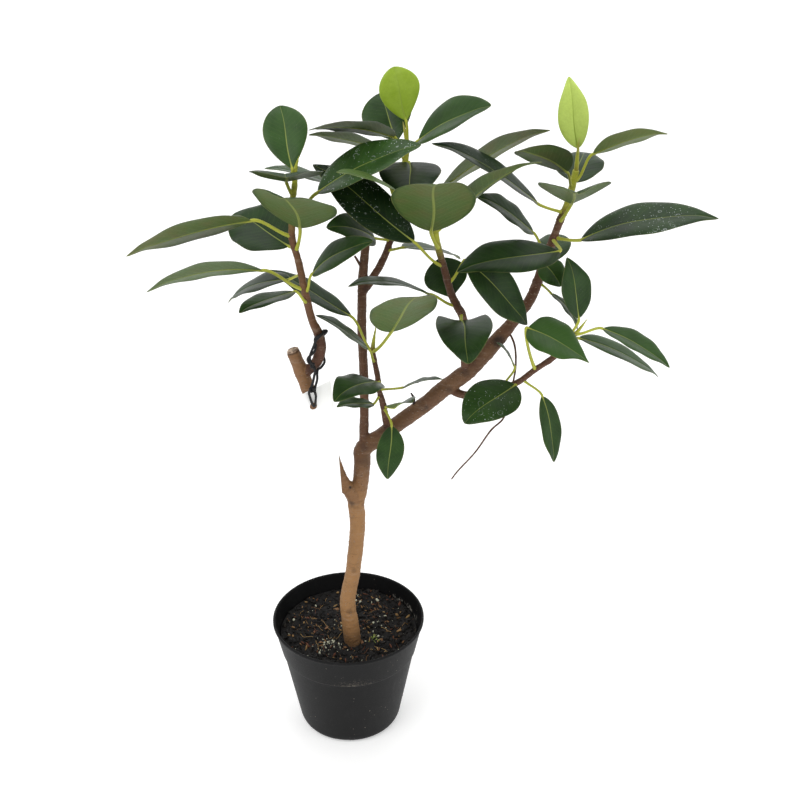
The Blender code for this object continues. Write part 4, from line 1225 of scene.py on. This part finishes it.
@dataclass
class Wood(Assembly):
    """Trunk, limbs and twigs in one skin, with scars, painted crease shade, a cut end and green
    shoots.
    """

    thin: tuple[str, ...] = ("air_root", "limb_hook", "pole_stub")
    voxel: float = 0.72

    def samples(self, name: str, step: float = 0.2) -> tuple[list[Vector], list[float], list[float]]:
        """Fine points, radii and places along a stem."""
        stem = STEMS[name]
        places = np.linspace(0, len(stem.points) - 1, round((len(stem.points) - 1) / step) + 1)
        points = [smooth_point(stem.points, place)[0] for place in places]
        return points, [stem_radius(stem, place) for place in places], list(places)

    def thick(self) -> bpy.types.Mesh:
        """Join the thick stems into one even skin.

        Returns:
            The mesh, in metres.
        """
        body = Body()
        for name in STEMS:
            if name not in self.thin:
                points, radii, _ = self.samples(name)
                body.tube(points, radii, 20)
        raw = body.finish("wood_raw")
        skin = raw.modifiers.new("skin", "REMESH")
        skin.mode, skin.voxel_size = "VOXEL", self.voxel * MM
        ease = raw.modifiers.new("ease", "SMOOTH")
        ease.factor, ease.iterations = 0.5, 6
        return settled(raw)

    def survey(self, co: np.ndarray) -> tuple[np.ndarray, np.ndarray, np.ndarray]:
        """Find what each vertex of the skin belongs to.

        Args:
            co: N by 3 places in millimetres.
        Returns:
            The stem's name, the place on it and the distance to its nearest leaf ring.
        """
        points, radii, stems, places, rings = [], [], [], [], []
        names = [name for name in STEMS if name not in self.thin]
        for index, name in enumerate(names):
            line, girth, place = self.samples(name)
            run = np.cumsum([0.0] + [(b - a).length for a, b in zip(line, line[1:])])
            nodes = [np.interp(leaf.place, place, run) for leaf in LEAVES if leaf.stem == name]
            nodes += [run[-1] * k / 9.3 + 2 for k in range(9)]
            rings.append(np.min(np.abs(run[:, None] - np.array(nodes)[None]), axis=1))
            points += [tuple(p) for p in line]
            radii += girth
            stems += [index] * len(line)
            places += place
        points, radii, ring = np.array(points), np.array(radii), np.concatenate(rings)
        best = np.concatenate([
            np.argmin(np.linalg.norm(part[:, None] - points[None], axis=2) / radii, axis=1)
            for part in np.array_split(co, max(1, len(co) // 1500))])
        owner = np.array([names[i] for i in np.array(stems)[best]])
        return owner, np.array(places)[best], ring[best]

    @staticmethod
    def marks(stem: np.ndarray, place: np.ndarray, co: np.ndarray) -> dict[str, np.ndarray]:
        """Work out the bark marks.

        Args:
            stem, place: The stem's name and the place on it, for each vertex.
            co: N by 3 places in millimetres.
        Returns:
            Shares of tan, green, cut, dark and red for each vertex.
        """
        green = np.select(
            [stem == "left", stem == "centre", stem == "trunk", stem == "mid",
             stem == "low_centre", stem == "low_right"],
            [smooth(place, 10.5, 13), smooth(place, 5.0, 6.8), smooth(place, 22.8, 24.6),
             smooth(place, 5.6, 7.4), smooth(place, 4.8, 6.0), smooth(place, 7.6, 9.0)], 0.0)
        tan = np.select([stem == "trunk", stem == "stub", stem == "left"],
                        [1 - 0.8 * smooth(co[:, 2], 190, 245), 0.6,
                         0.5 * smooth(place, 4.2, 6.0)], 0.08)
        end, along = smooth_point(STEMS["stub"].points, 6.0)
        off = (co - np.array(end)) @ np.array(along)
        cut = (stem == "stub") * smooth(off, -0.9, -0.2)
        top, up = smooth_point(STEMS["pole"].points, 6.0)
        cut = np.maximum(cut, 0.5 * (stem == "pole") * smooth((co - np.array(top)) @ np.array(up),
                                                               -0.8, -0.1))
        dark = 0.7 * (stem == "stub") * smooth(off, -2.6, -1.2) * (1 - smooth(off, -0.9, -0.3))
        # Scars darken the bark, and painted shade darkens the crease at the stub's base.
        for centre, reach, amount in SCARS_AND_CREASE_SHADE:
            away = np.linalg.norm(co - np.array(centre), axis=1)
            dark = np.maximum(dark, amount * (1 - smooth(away, reach * 0.35, reach)))
        dark = np.maximum(dark, 0.62 * (1 - smooth(co[:, 2], 84, 106)))
        red = np.select([stem == "trunk", stem == "stub", stem == "pole"],
                        [smooth(place, 16, 19), 0.15, 0.3], 0.8)
        return {"tan": tan, "green": green, "cut": cut, "dark": dark, "red": red}

    def skin(self, material: bpy.types.Material) -> bpy.types.Object:
        """Shape, roughen and mark the thick wood.

        Args:
            material: The bark.
        Returns:
            The object.
        """
        mesh = self.thick()
        co, normal = np.empty(len(mesh.vertices) * 3), np.empty(len(mesh.vertices) * 3)
        mesh.vertices.foreach_get("co", co)
        mesh.vertices.foreach_get("normal", normal)
        co, normal = co.reshape(-1, 3) / MM, normal.reshape(-1, 3)
        stem, place, ring = self.survey(co)
        marks = self.marks(stem, place, co)
        stout = np.where(np.isin(stem, ("trunk", "stub")), 1.0, 0.6) * (1 - 0.6 * marks["green"])
        lift = stout * (0.34 * ripple(co, 7, 2) + 0.22 * ripple(co, 2.6, 6)
                        + 0.2 * ripple(co * np.array([0.4, 0.4, 1.6]), 1.9, 8))
        lift += stout * (0.2 * np.exp(-(ring / 1.1) ** 2)
                         - 0.06 * np.exp(-((ring - 2.2) / 0.8) ** 2))
        lift += 0.5 * marks["dark"] * ripple(co, 1.8, 4)
        lift -= 0.5 * marks["dark"] * (marks["dark"] > 0.5)
        co = (co + normal * lift[:, None]) * MM
        mesh.vertices.foreach_set("co", co.ravel())
        for name, value in marks.items():
            mesh.attributes.new(name, "FLOAT", "POINT").data.foreach_set("value", value)
        ringed = np.exp(-(ring / 0.6) ** 2) * 0.16
        mesh.attributes["dark"].data.foreach_set("value", np.maximum(marks["dark"], ringed))
        mesh.update()
        return Body.object_of("woody_stem_bark", mesh, material, 75)

    def twigs(self, material: bpy.types.Material) -> bpy.types.Object:
        """Add the thin root, hook and stub, and the stipule spikes at the shoot ends.

        Args:
            material: The bark.
        Returns:
            The object.
        """
        body = Body(("tan", "green", "cut", "dark", "red"))
        for name in self.thin:
            points, radii, _ = self.samples(name, 0.1)
            rough = [r * (1 + 0.16 * noise.noise(p / 2.2)) for p, r in zip(points, radii)]
            shade = 0.95 if name == "limb_hook" else 0.15
            body.tube(points, rough, 12, lambda across, along: {
                "tan": 0.1, "green": 0.0, "cut": 0.0, "dark": shade, "red": 0.9})
        for name, place, way, length in SPIKES:
            start, _ = smooth_point(STEMS[name].points, place)
            heading = Vector(way).normalized()
            points = [start + heading * (length * k / 16) + Vector((0.5 * (k / 16) ** 2, 0, 0))
                      for k in range(17)]
            radii = [1.55 * (1 - (k / 16.3) ** 1.5) + 0.06 for k in range(17)]
            body.tube(points, radii, 12, lambda across, along: {
                "tan": 0.5 * (1 - smooth(along, 0.0, 0.25)),
                "green": 0.6 + 0.4 * smooth(along, 0, 0.3),
                "cut": 0.25 * smooth(along, 0.3, 0.8), "dark": 0.0, "red": 0.0})
        return body.finish("woody_stem_twigs", material, 75)

    def build(self) -> None:
        """Make the skin and the thin pieces on it."""
        material = BarkFinish("fig_bark").material()
        self.mount(self.skin(material), Slot.BARK, "woody_stem")
        self.mount(self.twigs(material), Slot.BARK, "woody_stem")


@dataclass
class Foliage(Assembly):
    """All the leaves, each with its stalk and its raised midrib."""

    columns: int = 22
    rows: int = 46
    thickness: float = 0.5
    marks: tuple[str, ...] = ("along", "across", "mid", "edge", "under", "stalk", "tone", "pale",
                              "wet")

    @staticmethod
    def outline(t: np.ndarray, belly: float, point: float) -> np.ndarray:
        """Half width of a blade of width one at shares of its length.

        Args:
            t: Shares of the length.
            belly: Where the blade is widest.
            point: How far its end is drawn to a point.
        Returns:
            The half widths.
        """
        full = np.sin(np.pi * np.clip(t, 0, 1) ** (math.log(0.5) / math.log(belly)))
        lobe = 0.5 * np.clip(full, 0, 1) ** (0.62 + 0.5 * point)
        return lobe * (1 - point * smooth(t, 0.62, 1.0)) + 0.004

    def spine(self, leaf: Leaf, habit: Habit, t: np.ndarray) -> tuple[np.ndarray, ...]:
        """Lay the middle line of a blade.

        Args:
            leaf, habit: The leaf.
            t: Shares of its length.
        Returns:
            The line, and the directions across and above it.
        """
        base, tip = Vector(leaf.base), Vector(leaf.tip)
        axis = tip - base
        face = Vector(leaf.face)
        ahead = axis.normalized()
        up = (face - ahead * face.dot(ahead)).normalized()
        side = ahead.cross(up)
        turn = np.radians(habit.twist) * (t - 0.35)
        across = np.cos(turn)[:, None] * np.array(side) + np.sin(turn)[:, None] * np.array(up)
        above = np.cos(turn)[:, None] * np.array(up) - np.sin(turn)[:, None] * np.array(side)
        bow = leaf.arch * 4 * t * (1 - t) - 0.02 * smooth(t, 0.84, 1.0)
        sway = habit.hook * smooth(t, 0.45, 1.0) - 0.012 * np.sin(2 * np.pi * t)
        line = (np.array(base) + t[:, None] * np.array(axis)
                + (bow * axis.length)[:, None] * np.array(up)
                + (sway * axis.length)[:, None] * np.array(side))
        return line, across, above

    def blade(self, body: Body, leaf: Leaf, habit: Habit, rng: random.Random) -> None:
        """Shape the blade: one closed sheet, folded at its midrib and wavy at its margins.

        Args:
            body: Receives the mesh.
            leaf, habit: The leaf.
            rng: Where its waves come from.
        """
        phase, pitch = rng.uniform(0, 6.3), rng.uniform(2.0, 3.2)
        lean = math.tan(math.radians(leaf.fold))

        def unpack(u: np.ndarray, v: np.ndarray) -> tuple[np.ndarray, ...]:
            """Share along, signed share across, whether underneath, and half width."""
            t = 0.45 * v + 0.55 * (0.5 - 0.5 * np.cos(np.pi * v))
            lower = u > 0.5
            w = np.where(lower, 3 - 4 * u, 4 * u - 1)
            w = np.sign(w) * np.abs(w) ** 1.25
            return t, w, lower, leaf.width * self.outline(t, leaf.belly, habit.point)

        def shape(u: np.ndarray, v: np.ndarray) -> np.ndarray:
            """Places on the sheet."""
            t, w, lower, half = unpack(u, v)
            line, across, above = self.spine(leaf, habit, t)
            reach = np.abs(w)
            lift = (np.sqrt(w**2 + 0.015) - 0.122) * half * lean - 0.07 * half * reach**5
            body_wave = np.sin(2 * np.pi * pitch * t + phase + np.where(w > 0, 1.4, 0.0))
            lift += habit.wave * reach**2.5 * body_wave * np.sin(np.pi * t) ** 0.5
            quilt = np.sin(2 * np.pi * (t * 9 - reach * 2)) * np.sin(np.pi * reach)
            lift += 0.06 * quilt * (half > 4)
            shell = self.thickness / 2 * (1 - reach**6) * np.minimum(1.0, half / 1.5)
            groove = 0.35 * np.exp(-(w * half / 0.75) ** 2) * np.minimum(1.0, half / 2)
            lift += np.where(lower, -shell, shell - groove)
            length = (Vector(leaf.tip) - Vector(leaf.base)).length
            back = 1.35 * habit.heart * length * smooth(t, 0, 0.15) * np.clip(1 - t, 0, 1) ** 3
            line = line - (back * reach**1.5)[:, None] * np.array(
                (Vector(leaf.tip) - Vector(leaf.base)) / length)
            return line + across * (w * half)[:, None] + above * lift[:, None]

        def marks(u: np.ndarray, v: np.ndarray) -> dict[str, np.ndarray]:
            """Marks of the sheet."""
            t, w, lower, half = unpack(u, v)
            return {"along": t, "across": np.abs(w), "mid": np.abs(w) * half,
                    "edge": (1 - np.abs(w)) * half, "under": lower * (np.abs(w) < 0.999),
                    "stalk": 0.0, "tone": habit.tone + rng.uniform(-0.12, 0.12),
                    "pale": habit.pale, "wet": habit.wet}

        body.patch(4 * (self.columns // 2), self.rows, shape, marks)

    def stalk(self, body: Body, leaf: Leaf, habit: Habit) -> None:
        """Lay the stalk from the stem, and its run under the blade as the midrib.

        Args:
            body: Receives the mesh.
            leaf, habit: The leaf.
        """
        stem = STEMS[leaf.stem]
        root, along = smooth_point(stem.points, leaf.place)
        base, ahead = Vector(leaf.base), (Vector(leaf.tip) - Vector(leaf.base)).normalized()
        leave = base - root
        if leaf.place < len(stem.points) - 1:
            leave -= along * leave.dot(along)
            start = root + leave.normalized() * (stem_radius(stem, leaf.place) - 0.7)
        else:
            leave = along.copy()
            start = root - along * 0.5
        span = (base - start).length
        leave = (leave.normalized() * 0.45 + (base - start) / span).normalized()
        meet = span * (0.08 + 0.22 * max(0.0, ahead.dot((base - start) / span)))
        pull = (start, start + leave * span * 0.3, base - ahead * meet, base)
        girth = 0.72 + 0.0105 * leaf.width
        points, radii = [], []
        for t in np.linspace(0, 1, 26).tolist():
            s = 1 - t
            points.append(s**3 * pull[0] + 3 * s * s * t * pull[1] + 3 * s * t * t * pull[2]
                          + t**3 * pull[3])
            radii.append(girth * (1 + 0.3 * math.exp(-t * 9) - 0.1 * math.sin(math.pi * t)))
        share = np.linspace(0.03, 0.95, 26)
        line, _, above = self.spine(leaf, habit, share)
        for t, centre, up in zip(share, line, above):
            radius = max(0.14, girth * (0.3 + 0.6 * math.exp(-t * 7)) * (1 - t) ** 0.6)
            sink = self.thickness / 2 + radius * np.interp(t, (0, 0.12, 1), (0.05, 0.1, 0.1))
            points.append(Vector(centre - up * sink))
            radii.append(radius)
        body.tube(points, radii, 10, lambda u, v: {
            "along": smooth(v, 0.5, 1.0), "across": 0.0, "mid": 0.0, "edge": 5.0,
            "under": smooth(v, 0.48, 0.55), "stalk": 1.0 - 0.85 * smooth(v, 0.52, 0.95),
            "tone": habit.tone, "pale": 0.0, "wet": 0.0})

    def build(self) -> None:
        """Make every leaf; those without a habit of their own get a random one."""
        green = LeafFinish("leaf_dark_green").material()
        young = LeafFinish("leaf_lime", under=srgb(150, 170, 70), rib=srgb(128, 150, 52),
                           rim=srgb(176, 196, 84)).material()
        for index, leaf in enumerate(LEAVES):
            rng = random.Random(101 + index)
            habit = HABITS.get(leaf.name) or Habit(
                tone=rng.uniform(-0.3, 0.3), wet=rng.choice((0.0, 0.2, 0.5)),
                twist=rng.uniform(-6, 6), wave=rng.uniform(0.25, 0.55),
                hook=rng.uniform(-0.02, 0.02),
                point=rng.uniform(0.08, 0.25))
            fresh = leaf.name in YOUNG_LEAVES
            body = Body(self.marks)
            self.blade(body, leaf, habit, rng)
            self.stalk(body, leaf, habit)
            piece = body.finish(f"{leaf.name}_blade", young if fresh else green, 70)
            self.mount(piece, Slot.YOUNG if fresh else Slot.GREEN, leaf.name)


@dataclass
class Tag(Assembly):
    """The blank card tag, its elastic tie and the knots in it."""

    top: Triple = (-20.8, -23.5, 308.0)
    bottom: Triple = (-13.0, -27.0, 178.0)
    width: float = 29.0
    thickness: float = 0.42
    twist: float = 26.0
    slant: float = 8.0
    hole_radius: float = 2.7
    hole_drop: float = 12.6
    tie_radius: float = 0.9
    columns: int = 24
    rows: int = 90
    ply_place: tuple[float, float] = (0.3, 7.5)
    ply_turns: float = 1.7
    ply_steps: int = 80
    ply_reach: float = 1.5
    knots: tuple[tuple[Triple, float], ...] = (
        ((-10.4, -20.8, 350.9), 0.46), ((-20.1, -26.7, 309.6), 0.72), ((-19.4, -25.8, 328.0), 0.55))

    def frame(self, share: float) -> tuple[Vector, Vector, Vector]:
        """Place one level of the card.

        Args:
            share: How far down the card, from 0 to 1.
        Returns:
            Its centre, and the directions across and out of its front.
        """
        down = Vector(self.bottom) - Vector(self.top)
        turn = math.radians(self.twist) * (1 - share) ** 2
        across = Vector((math.cos(turn), math.sin(turn), self.slant / self.width * (1 - share) ** 2))
        out = across.cross(down).normalized()
        bow = -1.2 * math.sin(math.pi * share)
        return Vector(self.top) + down * share + out * bow, across, -out

    def card(self) -> bpy.types.Object:
        """Shape the card and punch its hole.

        Returns:
            The object.
        """
        columns, rows = self.columns, self.rows
        frames = [self.frame(row / rows) for row in range(rows + 1)]
        centre, across, out = (np.array([tuple(f[i]) for f in frames]) for i in range(3))

        def shape(u: np.ndarray, v: np.ndarray) -> np.ndarray:
            """Places on the card: across its front, then back across its rear."""
            row = np.rint(v * rows).astype(int)
            k = np.rint(u * (2 * columns + 2)).astype(int) % (2 * columns + 2)
            front = k <= columns
            w = np.where(front, -1 + 2 * k / columns, 1 - 2 * (k - columns - 1) / columns)
            cockle = (0.35 * np.sin(v * 9 + w * 1.4) * np.abs(w) ** 1.5
                      + 0.5 * (w**2 - 0.3) * (v - 0.4))
            rise = np.where(front, 0.5, -0.5) * self.thickness - cockle
            return (centre[row] + across[row] * (w * self.width / 2)[:, None]
                    + out[row] * rise[:, None])

        body = Body()
        body.patch(2 * columns + 2, rows, shape)
        card = body.finish("tag_raw")
        drop = self.hole_drop / (Vector(self.bottom) - Vector(self.top)).length
        middle, _, facing = self.frame(drop)
        punch = Body()
        drill = bmesh.ops.create_cone(punch.bm, cap_ends=True, segments=40, radius1=self.hole_radius,
                                      radius2=self.hole_radius, depth=8)["verts"]
        bmesh.ops.rotate(punch.bm, verts=drill, cent=(0, 0, 0),
                         matrix=facing.to_track_quat("Z", "Y").to_matrix())
        bmesh.ops.translate(punch.bm, verts=drill, vec=middle)
        tool = punch.finish("cut_tag_hole")
        cut = card.modifiers.new("hole", "BOOLEAN")
        cut.operation, cut.object, cut.solver = "DIFFERENCE", tool, "FAST"
        mesh = settled(card, [tool])
        return Body.object_of("hang_tag_card", mesh, PaperFinish("tag_card").material(), 35)

    def tie(self, material: bpy.types.Material) -> tuple[bpy.types.Object, float]:
        """Lay the elastic as one open curve.

        Args:
            material: The elastic.
        Returns:
            The curve object and its length in metres.
        """
        fine = 8
        points = [smooth_point(STRING_ROUTE, i / fine)[0] * MM
                  for i in range(fine * (len(STRING_ROUTE) - 1) + 1)]
        curve = bpy.data.curves.new("tag_tie", "CURVE")
        curve.dimensions, curve.bevel_depth, curve.bevel_resolution = "3D", self.tie_radius * MM, 4
        curve.use_fill_caps = True
        spline = curve.splines.new("POLY")
        spline.points.add(len(points) - 1)
        for slot, point in zip(spline.points, points):
            slot.co = (*point, 1.0)
        spline.use_smooth = True
        curve.materials.append(material)
        tie = bpy.data.objects.new("tag_tie", curve)
        bpy.context.scene.collection.objects.link(tie)
        return tie, sum((b - a).length for a, b in zip(points, points[1:]))

    def ply(self, material: bpy.types.Material) -> bpy.types.Object:
        """Twist a second strand round the tie above the twig's heel.

        Args:
            material: The elastic.
        Returns:
            The object.
        """
        points, steps = [], self.ply_steps
        first, last = self.ply_place
        for k in range(steps + 1):
            centre, along = smooth_point(STRING_ROUTE, first + (last - first) * k / steps)
            side = along.cross(Vector((0, -1, 0))).normalized()
            turn = 2 * math.pi * self.ply_turns * k / steps
            reach = self.ply_reach * math.sin(math.pi * k / steps) ** 0.4
            points.append(centre + side * (math.sin(turn) * reach * 1.25)
                          - Vector((0, 1, 0)) * (0.25 + math.cos(turn) * reach))
        body = Body()
        body.tube(points, [self.tie_radius * 0.95] * len(points), 12)
        return body.finish("tag_tie_ply", material, 80)

    def knot(self, index: int, place: Triple, size: float,
             material: bpy.types.Material) -> bpy.types.Object:
        """Tie a small overhand knot.

        Args:
            index: Its number, which also turns it.
            place: Its centre.
            size: A sixth of its width, in millimetres.
            material: The elastic.
        Returns:
            The object.
        """
        points = []
        for k in range(73):
            a = 2 * math.pi * k / 72
            points.append(Vector(((math.sin(a) + 2 * math.sin(2 * a)) * size,
                                  (math.cos(a) - 2 * math.cos(2 * a)) * size,
                                  -math.sin(3 * a) * size * 1.3)))
        turn = Matrix.Rotation(1.1 + index, 3, "X") @ Matrix.Rotation(0.7 * index, 3, "Y")
        body = Body()
        body.tube([Vector(place) + turn @ p for p in points], [self.tie_radius * 0.92] * 73, 12)
        return body.finish(f"tag_knot_{index + 1}", material, 80)

    def build(self) -> None:
        elastic = ElasticFinish("tag_black_elastic").material()
        self.mount(self.card(), Slot.PAPER, "hang_tag")
        tie, length = self.tie(elastic)
        self.mount(tie, Slot.ELASTIC, "tag_string")
        knots = [self.mount(self.knot(i, place, size, elastic), Slot.ELASTIC, "tag_string")
                 for i, (place, size) in enumerate(self.knots)]
        knots.append(self.mount(self.ply(elastic), Slot.ELASTIC, "tag_string"))
        tuple(Vector(STRING_ROUTE[0]) * MM)
        LOG.info("tie is %.1f mm long", length / MM)


@dataclass
class Studio:
    """White sweep, soft lights and the camera."""

    sun: float = 0.62

    def sweep(self) -> None:
        """A floor that curves up behind the plant."""
        def shape(u: np.ndarray, v: np.ndarray) -> np.ndarray:
            """Places on the floor and up its curve."""
            run = v * 6000 - 2200
            turn = np.clip((run - 1500) / 600, 0, math.pi / 2)
            y = np.where(run < 1500, run, 1500 + 600 * np.sin(turn))
            z = 600 * (1 - np.cos(turn)) + np.maximum(0, run - 1500 - 300 * math.pi)
            return np.stack(((u - 0.5) * 7000, y, z), axis=-1)

        body = Body()
        body.patch(20, 90, shape, close=False)
        floor = body.finish("studio_sweep", FloorFinish("studio_white").material(), 180)
        floor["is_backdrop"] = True

    def lamp(self, name: str, place: Triple, aim: Triple, size: float, power: float) -> None:
        """Hang one soft square lamp.

        Args:
            name: The lamp's name.
            place, aim: Where it is and what it points at, in metres.
            size: Its side, in metres.
            power: Its power, in watts.
        """
        data = bpy.data.lights.new(name, "AREA")
        data.size, data.energy = size, power
        lamp = bpy.data.objects.new(name, data)
        lamp.location = place
        lamp.rotation_euler = (Vector(aim) - Vector(place)).to_track_quat("-Z", "Y").to_euler()
        bpy.context.scene.collection.objects.link(lamp)

    def build(self) -> None:
        """Add the sweep, the lights and the camera."""
        self.sweep()
        scene = bpy.context.scene
        world = bpy.data.worlds.new("studio_air")
        scene.world = world
        world.use_nodes = True
        air = world.node_tree.nodes["Background"]
        air.inputs["Color"].default_value = (1.0, 1.0, 1.0, 1.0)
        air.inputs["Strength"].default_value = self.sun
        self.lamp("key", (-0.9, -1.1, 1.9), (0.04, 0, 0.3), 1.2, 17.0)
        self.lamp("fill", (1.4, -0.9, 1.2), (0.04, 0, 0.3), 1.0, 6.0)
        self.lamp("top", (0.1, 0.4, 2.0), (0.05, 0, 0.3), 1.4, 11.0)
        scene.view_settings.view_transform = "Standard"
        data = bpy.data.cameras.new("camera")
        data.lens, data.sensor_width = 54.0, 36.0
        camera = bpy.data.objects.new("camera", data)
        camera.location = (0.041, -0.776, 0.680)
        camera.rotation_euler = (math.radians(63.2), 0.0, 0.0)
        scene.collection.objects.link(camera)
        scene.camera = camera


def corners(box: Sequence) -> list[list[float]]:
    """Plain lists of the two corners of a box."""
    return [[float(value) for value in corner] for corner in box]


def main() -> None:
    """Build every assembly on the frame and hand the scene over."""
    logging.basicConfig(level=logging.INFO, format="%(name)s: %(message)s")
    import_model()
    frame_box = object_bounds()
    for assembly in (Pot(), Soil(), Wood(), Foliage(), Tag()):
        assembly.build()
        LOG.info("%s: %d pieces", type(assembly).__name__, len(assembly.made))
    Studio().build()
    {"cad": corners(frame_box), "visual": corners(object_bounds())}


if __name__ == "__main__":
    main()
